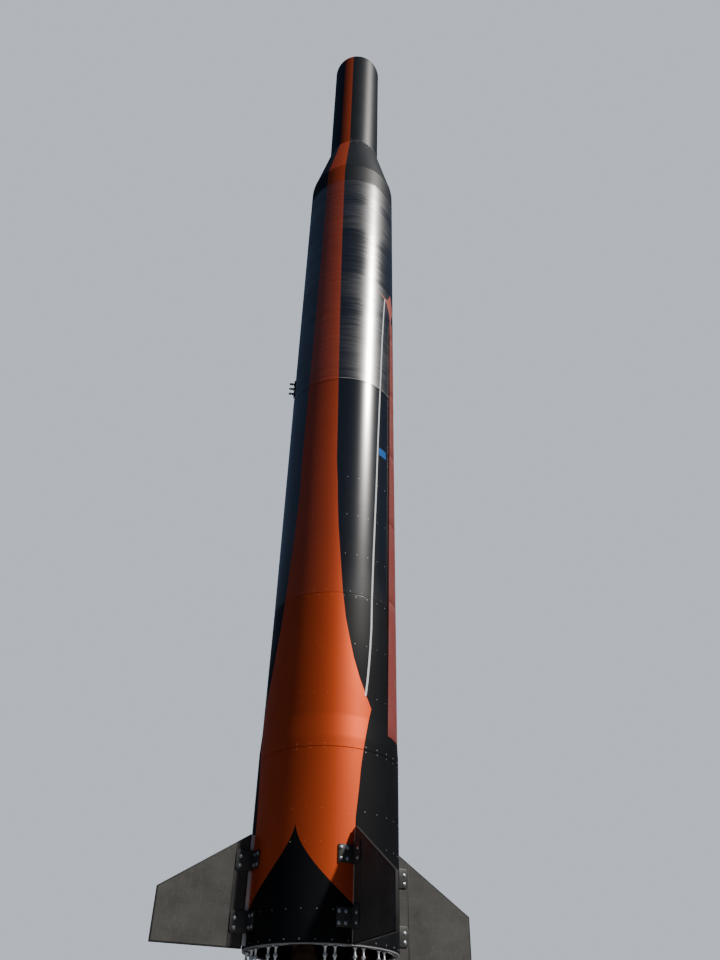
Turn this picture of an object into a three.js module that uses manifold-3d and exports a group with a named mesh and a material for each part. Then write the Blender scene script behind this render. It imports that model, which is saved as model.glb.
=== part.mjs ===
// A slender two-stage launch vehicle on four fins, in millimetres, +Z up.
// The origin is on the long axis, in the plane where the base ring meets what holds the vehicle up.
// Azimuths are in degrees from -Y, the side of the wide front stripe, towards +X.

import * as THREE from 'three';
import { mergeVertices } from 'three/addons/utils/BufferGeometryUtils.js';
import Module from 'manifold-3d';

const wasm = await Module();
wasm.setup();

// Driving dimensions of the stack
const SKIRT_RADIUS = 552;
const BODY_RADIUS = 535;
const UPPER_RADIUS = 331;
const SKIRT_WALL = 12;
const BASE_RING_HEIGHT = 14;
const SKIRT_TOP = 1281;
const SHOULDER_START = 1405;
const SHOULDER_END = 1485;
const SHOULDER_RADIUS = 543.5;
const LOWER_TANK_TOP = 2576;
const MID_TANK_TOP = 5037;
const UPPER_TANK_TOP = 8550;
const CONE_BOTTOM = 8880;
const CONE_TOP = 9800;
const FAIRING_BOTTOM = 10950;
const NOSE_BOTTOM = 12190;
const NOSE_HEIGHT = 165;
const SEAM_GAP = 0.3;
const SEAM_BEVEL = 2;
const ROUND_STEPS = 48;
const NOSE_ARC_STEPS = 5;

// Base ring and its hold-down studs
const BASE_RING_OUTER = 548;
const BASE_RING_INNER = 500;
const STUD_CIRCLE_RADIUS = 516;
const STUD_RADIUS = 8;
const STUD_LENGTH = 110;
const STUD_NUT_RADIUS = 15;
const STUD_NUT_TOP = -52;
const STUD_NUT_HEIGHT = 13;
const STUD_PAIR_OFFSETS = [-15, 7.5, 30];
const STUD_PAIR_HALF_ANGLE = 3.6;

// Fins
const FIN_AZIMUTHS = [45, 135, 225, 315];
const FIN_ROOT_RADIUS = 582;
const FIN_JOINT_RADIUS = 685;
const FIN_TIP_RADIUS = 1209;
const FIN_ROOT_HEIGHT = 731;
const FIN_TIP_HEIGHT = 334;
const FIN_THICKNESS = 22;

// Brackets that hold each fin's root to the skirt
const BRACKET_HEIGHTS = { upper: 550, lower: 160 };
const BRACKET_PLATE_HEIGHT = 118;
const BRACKET_PLATE_THICKNESS = 8;
const BRACKET_GAP = 0.8;
const BRACKET_PLATE_HALF_ANGLE = 12.1;
const BRACKET_EAR_HEIGHT = 136;
const BRACKET_EAR_THICKNESS = 8;
const BRACKET_EAR_TIP_RADIUS = 682;
const BRACKET_EAR_CORNER = 16;

// Raised cable covers on the two sides
const RACEWAY_AZIMUTHS = { right: 90, left: 270 };
const RACEWAY_PROUD = 15;
const RACEWAY_END_PROUD = 8;
const RACEWAY_GAP = 0.8;
const RACEWAY_EDGE_BEVEL = 10;
const RACEWAY_ARC_STEPS = 8;

// Umbilical connector
const CONNECTOR_AZIMUTH = -60.5;
const CONNECTOR_HEIGHT = 5305;
const CONNECTOR_PLATE = { thickness: 10, width: 60, height: 210 };
const CONNECTOR_PRONG_RADIUS = 15;
const CONNECTOR_PRONG_REACH = 64;
const CONNECTOR_PRONG_PITCH = 70;

// Engines: each one swings about a pin that points at the long axis
const ENGINE_AZIMUTHS = [0, 120, 240];
const ENGINE_CIRCLE_RADIUS = 270;
const ENGINE_PIVOT_HEIGHT = 400;
const ENGINE_STEPS = 20;
const ENGINE_PIN_RADIUS = 12;
const ENGINE_TONGUE = { thickness: 32, radius: 30 };
const ENGINE_EAR = { thickness: 14, radius: 35, gap: 2 };
const ENGINE_LUG = { reach: 110, drop: 200, radius: 16, hole: 10, thickness: 12, rootReach: 74 };

// Thrust frame
const FRAME_BOTTOM = 470;
const FRAME_TOP = 530;
const FRAME_HUB_RADIUS = 90;
const FRAME_RING_INNER = 328;
const FRAME_RING_OUTER = 382;
const FRAME_SPOKE_WIDTHS = { engine: 80, between: 50 };
const DOME_APEX = 600;
const DOME_EDGE = 760;
const DOME_ARC_STEPS = 4;

// Actuators: the barrel hangs from the frame and the rod's fork holds the engine's lug
const ACTUATOR_TOP = { across: 230, rise: 30 };
const ACTUATOR_EYE = { thickness: 20, radius: 18 };
const ACTUATOR_EAR = { thickness: 10, radius: 20, gap: 1.5 };
const ACTUATOR_PIN_RADIUS = 7;
const PIN_CLEARANCE = 0.7;
const BARREL = { radius: 24, bore: 13, start: 26, floor: 40, end: 160 };
const ROD = { radius: 10.5, start: 75, neck: 226, fork: 238 };
const ROD_FORK = { gap: 1.5, cheek: 7, radius: 13, pin: 6 };

// Feed lines
const FEED_LINE = { inward: 34, across: -68, radius: 18, bottom: 365, top: 622, flange: 30 };
const BELLOWS = { radius: 25, valley: 19, bottom: 377, pitch: 14, ribs: 3 };

const PAINTS = {
  black_composite: { color: 0x15171a, roughness: 0.28, metalness: 0.1 },
  satin_black: { color: 0x1f2326, roughness: 0.5, metalness: 0.1 },
  fin_grey: { color: 0x4a4845, roughness: 0.75, metalness: 0.0 },
  bracket_grey: { color: 0x3c3d3b, roughness: 0.5, metalness: 0.2 },
  raceway_red: { color: 0x8f3a2c, roughness: 0.55, metalness: 0.0 },
  bare_steel: { color: 0xb9bcc0, roughness: 0.3, metalness: 1.0 },
  nozzle_brown: { color: 0x3a2a22, roughness: 0.7, metalness: 0.2 },
  frame_metal: { color: 0x8b8f94, roughness: 0.45, metalness: 0.9 },
};

const rocket = new THREE.Group();

// Geometry helpers

// Keeps positions only, merges shared corners and drops the flat triangles at a lathe's poles.
function cleaned(geometry) {
  const bare = geometry.clone();
  bare.deleteAttribute('normal');
  bare.deleteAttribute('uv');
  const merged = mergeVertices(bare, 1e-4);
  const corners = merged.index.array;
  const kept = [];
  for (let i = 0; i < corners.length; i += 3) {
    const [a, b, c] = [corners[i], corners[i + 1], corners[i + 2]];
    if (a !== b && b !== c && c !== a) {
      kept.push(a, b, c);
    }
  }
  merged.setIndex(kept);
  if (signedVolume(merged) < 0) {
    merged.setIndex(kept.map((_, i) => kept[i - (i % 3) + [0, 2, 1][i % 3]]));
  }
  return merged;
}

function signedVolume(geometry) {
  const position = geometry.attributes.position;
  const corners = geometry.index.array;
  const [a, b, c] = [new THREE.Vector3(), new THREE.Vector3(), new THREE.Vector3()];
  let volume = 0;
  for (let i = 0; i < corners.length; i += 3) {
    a.fromBufferAttribute(position, corners[i]);
    b.fromBufferAttribute(position, corners[i + 1]);
    c.fromBufferAttribute(position, corners[i + 2]);
    volume += a.dot(b.cross(c)) / 6;
  }
  return volume;
}

function solidOf(geometry) {
  const clean = cleaned(geometry);
  const vertProperties = new Float32Array(clean.attributes.position.array);
  const triVerts = new Uint32Array(clean.index.array);
  return new wasm.Manifold(new wasm.Mesh({ numProp: 3, vertProperties, triVerts }));
}

function geometryOf(solid) {
  const mesh = solid.getMesh();
  const geometry = new THREE.BufferGeometry();
  geometry.setAttribute('position', new THREE.BufferAttribute(mesh.vertProperties, 3));
  geometry.setIndex(new THREE.BufferAttribute(mesh.triVerts, 1));
  return geometry;
}

function join(...geometries) {
  return geometryOf(geometries.map(solidOf).reduce((whole, piece) => whole.add(piece)));
}

function cut(geometry, ...tools) {
  return geometryOf(tools.map(solidOf).reduce((whole, tool) => whole.subtract(tool), solidOf(geometry)));
}

// A turned shape about Z: profile points are [radius, height].
function turned(profile, steps = ROUND_STEPS) {
  const points = profile.map(([radius, height]) => new THREE.Vector2(radius, height));
  return cleaned(new THREE.LatheGeometry(points, steps).rotateX(Math.PI / 2));
}

function tube(outer, inner, bottom, top, steps = ROUND_STEPS) {
  return turned([[inner, bottom], [outer, bottom], [outer, top], [inner, top], [inner, bottom]], steps);
}

function rodAlongX(radius, from, to, steps = 12) {
  const rod = new THREE.CylinderGeometry(radius, radius, to - from, steps);
  return rod.rotateZ(Math.PI / 2).translate((from + to) / 2, 0, 0);
}

function rodAlongZ(radius, bottom, top, steps = 12) {
  const rod = new THREE.CylinderGeometry(radius, radius, top - bottom, steps);
  return rod.rotateX(Math.PI / 2).translate(0, 0, (bottom + top) / 2);
}

function block(xRange, yRange, zRange) {
  const ranges = [xRange, yRange, zRange];
  const sizes = ranges.map(([low, high]) => high - low);
  const centres = ranges.map(([low, high]) => (low + high) / 2);
  return new THREE.BoxGeometry(...sizes).translate(...centres);
}

// A plate whose outline is drawn in the X-Z plane, centred on Y = 0.
function plateInXZ(shape, thickness, curveSegments = 5) {
  const plate = new THREE.ExtrudeGeometry(shape, { depth: thickness, bevelEnabled: false, curveSegments });
  return plate.translate(0, 0, -thickness / 2).rotateX(Math.PI / 2);
}

// A plate whose outline is drawn in the Y-Z plane, between two X values.
function plateInYZ(shape, fromX, toX, curveSegments = 5) {
  const plate = new THREE.ExtrudeGeometry(shape, { depth: toX - fromX, bevelEnabled: false, curveSegments });
  const axes = new THREE.Matrix4().makeBasis(
    new THREE.Vector3(0, 1, 0),
    new THREE.Vector3(0, 0, 1),
    new THREE.Vector3(1, 0, 0),
  );
  return plate.applyMatrix4(axes).translate(fromX, 0, 0);
}

function polygon(points) {
  return new THREE.Shape(points.map(([x, y]) => new THREE.Vector2(x, y)));
}

// A strap of a given half width with one round end at (0, 0), running up to a height above it.
function strap(radius, height) {
  const shape = new THREE.Shape();
  shape.moveTo(radius, height);
  shape.lineTo(-radius, height);
  shape.lineTo(-radius, 0);
  shape.absarc(0, 0, radius, Math.PI, 2 * Math.PI, false);
  shape.closePath();
  return shape;
}

function radians(degrees) {
  return THREE.MathUtils.degToRad(degrees);
}

// A group whose +X points outwards at an azimuth and whose +Y runs round the body from there.
function stationAt(azimuth) {
  const station = new THREE.Group();
  station.rotation.z = radians(azimuth - 90);
  rocket.add(station);
  return station;
}

function turnedTo(geometry, azimuth) {
  return geometry.rotateZ(radians(azimuth - 90));
}

function addPiece(parent, name, geometry, paint) {
  const mesh = new THREE.Mesh(geometry, new THREE.MeshStandardMaterial(PAINTS[paint]));
  mesh.name = name;
  parent.add(mesh);
  return mesh;
}

// Stack of solid sections: name, bottom, top, paint, and the radii in between as [radius, height]
const CONE_SLOPE = (BODY_RADIUS - UPPER_RADIUS) / (CONE_TOP - CONE_BOTTOM);
const coneRadius = (height) => BODY_RADIUS - CONE_SLOPE * (height - CONE_BOTTOM);
const STACK = [
  {
    name: 'lower_tank', bottom: SKIRT_TOP, top: LOWER_TANK_TOP, paint: 'black_composite',
    outline: [[SKIRT_RADIUS, SKIRT_TOP], [SKIRT_RADIUS, SHOULDER_START], [SHOULDER_RADIUS, SHOULDER_END],
      [BODY_RADIUS, LOWER_TANK_TOP]],
  },
  {
    name: 'mid_tank', bottom: LOWER_TANK_TOP, top: MID_TANK_TOP, paint: 'black_composite',
    outline: [[BODY_RADIUS, LOWER_TANK_TOP], [BODY_RADIUS, MID_TANK_TOP]],
  },
  {
    name: 'upper_tank', bottom: MID_TANK_TOP, top: UPPER_TANK_TOP, paint: 'black_composite',
    outline: [[BODY_RADIUS, MID_TANK_TOP], [BODY_RADIUS, UPPER_TANK_TOP]],
  },
  {
    name: 'forward_skirt', bottom: UPPER_TANK_TOP, top: CONE_BOTTOM, paint: 'satin_black',
    outline: [[BODY_RADIUS, UPPER_TANK_TOP], [BODY_RADIUS, CONE_BOTTOM - 80],
      [BODY_RADIUS - 1.5, CONE_BOTTOM]],
  },
  {
    name: 'interstage_cone', bottom: CONE_BOTTOM, top: CONE_TOP, paint: 'satin_black',
    outline: [[BODY_RADIUS - 1.5, CONE_BOTTOM], [BODY_RADIUS - 8, CONE_BOTTOM + 42],
      [coneRadius(CONE_BOTTOM + 95), CONE_BOTTOM + 95], [UPPER_RADIUS, CONE_TOP]],
  },
  {
    name: 'upper_stage', bottom: CONE_TOP, top: FAIRING_BOTTOM, paint: 'satin_black',
    outline: [[UPPER_RADIUS, CONE_TOP], [UPPER_RADIUS, FAIRING_BOTTOM]],
  },
  {
    name: 'payload_fairing', bottom: FAIRING_BOTTOM, top: NOSE_BOTTOM, paint: 'satin_black',
    outline: [[UPPER_RADIUS, FAIRING_BOTTOM], [UPPER_RADIUS, NOSE_BOTTOM]],
  },
];

// The outline with a small bevel at each end, closed down to the axis, and a hair short of the next section.
function sectionProfile({ outline, bottom, top }) {
  const [first, last] = [outline[0], outline[outline.length - 1]];
  return [
    [0, bottom + SEAM_GAP],
    [first[0] - SEAM_BEVEL, bottom + SEAM_GAP],
    [first[0], bottom + SEAM_GAP + SEAM_BEVEL],
    ...outline.slice(1, -1),
    [last[0], top - SEAM_BEVEL],
    [last[0] - SEAM_BEVEL, top],
    [0, top],
  ];
}

for (const section of STACK) {
  addPiece(rocket, section.name, turned(sectionProfile(section)), section.paint);
}

// Nose cap: a shallow round dome above the fairing
const noseProfile = [[0, NOSE_BOTTOM + SEAM_GAP], [UPPER_RADIUS - SEAM_BEVEL, NOSE_BOTTOM + SEAM_GAP]];
for (let i = 0; i < NOSE_ARC_STEPS; i += 1) {
  const angle = (i / NOSE_ARC_STEPS) * (Math.PI / 2);
  noseProfile.push([
    UPPER_RADIUS * Math.cos(angle),
    NOSE_BOTTOM + SEAM_GAP + SEAM_BEVEL + (NOSE_HEIGHT - SEAM_BEVEL) * Math.sin(angle),
  ]);
}
noseProfile.push([0, NOSE_BOTTOM + NOSE_HEIGHT]);
addPiece(rocket, 'nose_cap', turned(noseProfile), 'satin_black');

// Aft skirt: a tube open below, closed above by the tank's dished end
const SKIRT_BORE = SKIRT_RADIUS - SKIRT_WALL;
const skirtBottom = BASE_RING_HEIGHT + SEAM_GAP;
addPiece(rocket, 'aft_skirt', turned([
  [SKIRT_BORE, skirtBottom],
  [SKIRT_RADIUS - SEAM_BEVEL, skirtBottom],
  [SKIRT_RADIUS, skirtBottom + SEAM_BEVEL],
  [SKIRT_RADIUS, SKIRT_TOP - SEAM_BEVEL],
  [SKIRT_RADIUS - SEAM_BEVEL, SKIRT_TOP],
  [SKIRT_BORE, SKIRT_TOP],
  [SKIRT_BORE, skirtBottom],
]), 'black_composite');

const domeWall = SKIRT_BORE - SEAM_GAP;
const domeDepth = DOME_EDGE - DOME_APEX;
const domeSphere = (domeWall ** 2 + domeDepth ** 2) / (2 * domeDepth);
const domeProfile = [];
for (let i = 0; i <= DOME_ARC_STEPS; i += 1) {
  const radius = (i / DOME_ARC_STEPS) * domeWall;
  domeProfile.push([radius, DOME_APEX + domeSphere - Math.sqrt(domeSphere ** 2 - radius ** 2)]);
}
domeProfile.push([domeWall, SKIRT_TOP], [0, SKIRT_TOP]);
addPiece(rocket, 'aft_dome', turned(domeProfile), 'frame_metal');

// Base ring in four quarters, each with three pairs of hold-down studs
function baseRingQuarter() {
  const half = radians(45) - SEAM_GAP / BASE_RING_OUTER / 2;
  const sector = new THREE.Shape();
  sector.absarc(0, 0, BASE_RING_OUTER, -half, half, false);
  sector.absarc(0, 0, BASE_RING_INNER, half, -half, true);
  sector.closePath();
  return new THREE.ExtrudeGeometry(sector, {
    depth: BASE_RING_HEIGHT, bevelEnabled: false, curveSegments: ROUND_STEPS / 4,
  });
}

function stud(degreesFromFin) {
  const shank = rodAlongZ(STUD_RADIUS, -STUD_LENGTH, BASE_RING_HEIGHT / 2, 8);
  const nut = rodAlongZ(STUD_NUT_RADIUS, STUD_NUT_TOP - STUD_NUT_HEIGHT, STUD_NUT_TOP, 6);
  const place = (piece) => piece.translate(STUD_CIRCLE_RADIUS, 0, 0).rotateZ(radians(degreesFromFin));
  return [place(shank), place(nut)];
}

FIN_AZIMUTHS.forEach((azimuth, i) => {
  const studs = [];
  for (const offset of STUD_PAIR_OFFSETS) {
    for (const twin of [-1, 1]) {
      studs.push(...stud(offset + twin * STUD_PAIR_HALF_ANGLE));
    }
  }
  addPiece(stationAt(azimuth), `base_ring_${i + 1}`, join(baseRingQuarter(), ...studs), 'bare_steel');
});

// Fins: a panel joined to a root strip, which two brackets hold off the skirt
const sweep = (FIN_ROOT_HEIGHT - FIN_TIP_HEIGHT) / (FIN_TIP_RADIUS - FIN_ROOT_RADIUS);
const finEdgeHeight = (radius) => FIN_ROOT_HEIGHT - sweep * (radius - FIN_ROOT_RADIUS);

function finPanel() {
  const root = FIN_JOINT_RADIUS;
  const outline = polygon([
    [root, 0], [FIN_TIP_RADIUS, 0], [FIN_TIP_RADIUS, FIN_TIP_HEIGHT], [root, finEdgeHeight(root)],
  ]);
  return plateInXZ(outline, FIN_THICKNESS);
}

function finRoot() {
  const joint = FIN_JOINT_RADIUS - SEAM_GAP;
  const outline = polygon([
    [FIN_ROOT_RADIUS, 0], [joint, 0], [joint, finEdgeHeight(joint)], [FIN_ROOT_RADIUS, FIN_ROOT_HEIGHT],
  ]);
  return plateInXZ(outline, FIN_THICKNESS);
}

// A plate that follows the skirt, with two ears that stand either side of the fin's root.
function finBracket() {
  const inner = SKIRT_RADIUS + BRACKET_GAP;
  const outer = inner + BRACKET_PLATE_THICKNESS;
  const half = radians(BRACKET_PLATE_HALF_ANGLE);
  const sector = new THREE.Shape();
  sector.absarc(0, 0, outer, -half, half, false);
  sector.absarc(0, 0, inner, half, -half, true);
  sector.closePath();
  const plate = new THREE.ExtrudeGeometry(sector, {
    depth: BRACKET_PLATE_HEIGHT, bevelEnabled: false, curveSegments: 5,
  }).translate(0, 0, -BRACKET_PLATE_HEIGHT / 2);
  const [low, high] = [-BRACKET_EAR_HEIGHT / 2, BRACKET_EAR_HEIGHT / 2];
  const ear = polygon([
    [inner + BRACKET_PLATE_THICKNESS / 2, low], [BRACKET_EAR_TIP_RADIUS - BRACKET_EAR_CORNER, low],
    [BRACKET_EAR_TIP_RADIUS, low + BRACKET_EAR_CORNER], [BRACKET_EAR_TIP_RADIUS, high - BRACKET_EAR_CORNER],
    [BRACKET_EAR_TIP_RADIUS - BRACKET_EAR_CORNER, high], [inner + BRACKET_PLATE_THICKNESS / 2, high],
  ]);
  const earOffset = FIN_THICKNESS / 2 + SEAM_GAP + BRACKET_EAR_THICKNESS / 2;
  const ears = [-earOffset, earOffset].map((y) => plateInXZ(ear, BRACKET_EAR_THICKNESS).translate(0, y, 0));
  return join(plate, ...ears);
}

FIN_AZIMUTHS.forEach((azimuth, i) => {
  const station = stationAt(azimuth);
  addPiece(station, `fin_panel_${i + 1}`, finPanel(), 'fin_grey');
  addPiece(station, `fin_root_${i + 1}`, finRoot(), 'fin_grey');
  for (const [level, height] of Object.entries(BRACKET_HEIGHTS)) {
    const bracket = addPiece(station, `fin_bracket_${i + 1}_${level}`, finBracket(), 'bracket_grey');
    bracket.position.z = height;
  }
});

// The hull's radius at a height above the start of the shoulder
function hullRadius(height) {
  if (height < SHOULDER_END) {
    const share = (height - SHOULDER_START) / (SHOULDER_END - SHOULDER_START);
    return SKIRT_RADIUS + (SHOULDER_RADIUS - SKIRT_RADIUS) * share;
  }
  const share = Math.min(1, (height - SHOULDER_END) / (LOWER_TANK_TOP - SHOULDER_END));
  return SHOULDER_RADIUS + (BODY_RADIUS - SHOULDER_RADIUS) * share;
}

// Raceways: a cover lofted through stations of height, half width in degrees and how far it stands proud.
// Its inside follows the lower tank's shoulder and taper; its outside stays straight.
const RACEWAY_STATIONS = [
  { height: 1450, halfWidth: 11.7, proud: RACEWAY_PROUD },
  { height: SHOULDER_END, halfWidth: 11.63, proud: RACEWAY_PROUD },
  { height: LOWER_TANK_TOP, halfWidth: 9.34, proud: RACEWAY_PROUD },
  { height: 2645, halfWidth: 9.2, proud: RACEWAY_PROUD },
  { height: 4283, halfWidth: 6.7, proud: RACEWAY_PROUD },
  { height: 5957, halfWidth: 4.8, proud: RACEWAY_PROUD },
  { height: 6235, halfWidth: 3.8, proud: RACEWAY_END_PROUD },
];

function racewayRing({ height, halfWidth, proud }) {
  const inner = hullRadius(height) + RACEWAY_GAP;
  const outer = BODY_RADIUS + proud;
  const bevel = Math.min(RACEWAY_EDGE_BEVEL, (outer - inner) * 0.7);
  const bevelAngle = THREE.MathUtils.radToDeg(bevel / outer);
  const ring = [];
  const addPoint = (radius, degrees) => {
    ring.push([radius * Math.cos(radians(degrees)), radius * Math.sin(radians(degrees)), height]);
  };
  for (let i = 0; i <= RACEWAY_ARC_STEPS; i += 1) {
    addPoint(inner, halfWidth - (2 * halfWidth * i) / RACEWAY_ARC_STEPS);
  }
  addPoint(outer - bevel, -halfWidth);
  const top = halfWidth - bevelAngle;
  for (let i = 0; i <= RACEWAY_ARC_STEPS; i += 1) {
    addPoint(outer, -top + (2 * top * i) / RACEWAY_ARC_STEPS);
  }
  addPoint(outer - bevel, halfWidth);
  return ring;
}

// Joins rings of equal length by side walls and closes the two ends with fans.
function loft(rings) {
  const positions = rings.flat(2);
  const count = rings[0].length;
  const corners = [];
  for (let level = 0; level + 1 < rings.length; level += 1) {
    for (let i = 0; i < count; i += 1) {
      const next = (i + 1) % count;
      const [a, b] = [level * count + i, level * count + next];
      corners.push(a, b, b + count, a, b + count, a + count);
    }
  }
  // The two ends are strips between the inner and the outer arc, which suits a thin curved section.
  const last = (rings.length - 1) * count;
  for (let i = 0; i < RACEWAY_ARC_STEPS + 1; i += 1) {
    const [inA, inB] = [i, i + 1];
    const [outA, outB] = [count - 1 - i, count - 2 - i];
    if (inB < outB) {
      corners.push(inA, outA, outB, inA, outB, inB);
      corners.push(last + inA, last + outB, last + outA, last + inA, last + inB, last + outB);
    } else {
      corners.push(inA, outA, outB);
      corners.push(last + inA, last + outB, last + outA);
    }
  }
  const geometry = new THREE.BufferGeometry();
  geometry.setAttribute('position', new THREE.Float32BufferAttribute(positions, 3));
  geometry.setIndex(corners);
  return cleaned(geometry);
}

for (const [side, azimuth] of Object.entries(RACEWAY_AZIMUTHS)) {
  const cover = loft(RACEWAY_STATIONS.map(racewayRing));
  addPiece(stationAt(azimuth), `raceway_${side}`, cover, 'raceway_red');
}

// Umbilical connector: a plate with three prongs
const plateInside = BODY_RADIUS + SEAM_GAP;
const plateOutside = plateInside + CONNECTOR_PLATE.thickness;
const connectorPlate = block(
  [plateInside, plateOutside],
  [-CONNECTOR_PLATE.width / 2, CONNECTOR_PLATE.width / 2],
  [-CONNECTOR_PLATE.height / 2, CONNECTOR_PLATE.height / 2],
);
const prongs = [-1, 0, 1].map((row) => {
  const prong = rodAlongX(CONNECTOR_PRONG_RADIUS, plateInside + 2, BODY_RADIUS + CONNECTOR_PRONG_REACH);
  return prong.translate(0, 0, row * CONNECTOR_PRONG_PITCH);
});
const connector = addPiece(
  stationAt(CONNECTOR_AZIMUTH), 'umbilical_connector', join(connectorPlate, ...prongs), 'bracket_grey',
);
connector.position.z = CONNECTOR_HEIGHT;

// Engine, drawn about its pin: X along the pin, Z up
const ENGINE_OUTSIDE = [
  [0, -55], [60, -55], [92, -74], [92, -98], [79, -102], [79, -262],
  [46, -340], [63, -392], [102, -506], [125, -600],
];
const ENGINE_INSIDE = [
  [120, -600], [97, -506], [58, -392], [41, -340], [72, -262], [72, -112], [0, -112],
];

function engine() {
  const chamber = turned([...ENGINE_OUTSIDE, ...ENGINE_INSIDE], ENGINE_STEPS);
  const tongueShape = new THREE.Shape();
  tongueShape.absarc(0, 0, ENGINE_TONGUE.radius, 0, Math.PI, false);
  tongueShape.lineTo(-ENGINE_TONGUE.radius, -60);
  tongueShape.lineTo(ENGINE_TONGUE.radius, -60);
  tongueShape.closePath();
  const half = ENGINE_TONGUE.thickness / 2;
  const tongue = plateInYZ(tongueShape, -half, half);
  const pinReach = half + ENGINE_EAR.gap + ENGINE_EAR.thickness;
  const pin = rodAlongX(ENGINE_PIN_RADIUS, -pinReach, pinReach);
  const lugShape = new THREE.Shape();
  lugShape.moveTo(ENGINE_LUG.rootReach, -ENGINE_LUG.drop - ENGINE_LUG.radius);
  lugShape.absarc(ENGINE_LUG.reach, -ENGINE_LUG.drop, ENGINE_LUG.radius, -Math.PI / 2, Math.PI / 2, false);
  lugShape.lineTo(ENGINE_LUG.rootReach, -ENGINE_LUG.drop + ENGINE_LUG.radius);
  lugShape.closePath();
  const lugHalf = ENGINE_LUG.thickness / 2;
  const lug = plateInYZ(lugShape, -lugHalf, lugHalf);
  const lugHole = rodAlongX(ENGINE_LUG.hole, -lugHalf - 1, lugHalf + 1)
    .translate(0, ENGINE_LUG.reach, -ENGINE_LUG.drop);
  return cut(join(chamber, tongue, pin, lug), lugHole);
}

// Actuator, drawn down its own axis from the eye at the origin
const actuatorAcross = ENGINE_LUG.reach - ACTUATOR_TOP.across;
const actuatorDrop = -ENGINE_LUG.drop - ACTUATOR_TOP.rise;
const actuatorLength = Math.hypot(actuatorAcross, actuatorDrop);
const actuatorTilt = Math.atan2(actuatorAcross, -actuatorDrop);

function actuatorBarrel() {
  const body = turned([
    [0, -BARREL.start], [BARREL.radius, -BARREL.start], [BARREL.radius, -BARREL.end],
    [BARREL.bore, -BARREL.end], [BARREL.bore, -BARREL.floor], [0, -BARREL.floor],
  ], 16);
  const half = ACTUATOR_EYE.thickness / 2;
  const eyeShape = strap(ACTUATOR_EYE.radius, BARREL.start + 4);
  const eye = plateInYZ(eyeShape, -half, half).rotateX(Math.PI);
  const reach = half + ACTUATOR_EAR.gap + ACTUATOR_EAR.thickness;
  return join(body, eye, rodAlongX(ACTUATOR_PIN_RADIUS, -reach, reach));
}

function actuatorRod() {
  const shaft = rodAlongZ(ROD.radius, -ROD.neck - 4, -ROD.start);
  const cheekInside = ENGINE_LUG.thickness / 2 + ROD_FORK.gap;
  const cheekOutside = cheekInside + ROD_FORK.cheek;
  const yoke = block(
    [-cheekOutside, cheekOutside], [-ROD_FORK.radius, ROD_FORK.radius], [-ROD.fork, -ROD.neck],
  );
  const cheekShape = strap(ROD_FORK.radius, actuatorLength - ROD.fork + 4);
  const cheeks = [[-cheekOutside, -cheekInside], [cheekInside, cheekOutside]].map(([from, to]) => (
    plateInYZ(cheekShape, from, to).translate(0, 0, -actuatorLength)
  ));
  const pin = rodAlongX(ROD_FORK.pin, -cheekOutside, cheekOutside).translate(0, 0, -actuatorLength);
  return join(shaft, yoke, ...cheeks, pin);
}

// Feed line with a bellows above the engine's head
function feedLine() {
  const profile = [
    [0, FEED_LINE.bottom], [FEED_LINE.flange, FEED_LINE.bottom], [FEED_LINE.flange, BELLOWS.bottom],
  ];
  for (let rib = 0; rib < BELLOWS.ribs; rib += 1) {
    const height = BELLOWS.bottom + rib * BELLOWS.pitch;
    profile.push([BELLOWS.valley, height + 1], [BELLOWS.radius, height + BELLOWS.pitch / 2]);
  }
  const bellowsTop = BELLOWS.bottom + BELLOWS.ribs * BELLOWS.pitch;
  profile.push([BELLOWS.valley, bellowsTop], [FEED_LINE.radius, bellowsTop + 4]);
  profile.push([FEED_LINE.radius, FEED_LINE.top - 12], [FEED_LINE.flange, FEED_LINE.top - 12]);
  profile.push([FEED_LINE.flange, FEED_LINE.top], [0, FEED_LINE.top]);
  return turned(profile, 12);
}

ENGINE_AZIMUTHS.forEach((azimuth, i) => {
  const station = stationAt(azimuth);
  const pivot = new THREE.Group();
  pivot.position.set(ENGINE_CIRCLE_RADIUS, 0, ENGINE_PIVOT_HEIGHT);
  station.add(pivot);
  addPiece(pivot, `engine_${i + 1}`, engine(), 'nozzle_brown');
  const strut = new THREE.Group();
  strut.position.set(0, ACTUATOR_TOP.across, ACTUATOR_TOP.rise);
  strut.rotation.x = actuatorTilt;
  pivot.add(strut);
  addPiece(strut, `actuator_barrel_${i + 1}`, actuatorBarrel(), 'frame_metal');
  addPiece(strut, `actuator_rod_${i + 1}`, actuatorRod(), 'bare_steel');
  const line = addPiece(station, `feed_line_${i + 1}`, feedLine(), 'bare_steel');
  line.position.set(ENGINE_CIRCLE_RADIUS - FEED_LINE.inward, FEED_LINE.across, 0);
});

// Thrust frame: hub, ring and spokes, with the ears that carry the engines and the actuators
// A pair of ears that hang from the frame either side of what they carry, drawn about their pin.
function hangingEars(thicknessInside, ear, pinRadius, height) {
  const inside = thicknessInside / 2 + ear.gap;
  const outside = inside + ear.thickness;
  const hole = rodAlongX(pinRadius + PIN_CLEARANCE, -outside - 1, outside + 1);
  return [[-outside, -inside], [inside, outside]].map(([from, to]) => (
    cut(plateInYZ(strap(ear.radius, height), from, to), hole)
  ));
}

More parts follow.
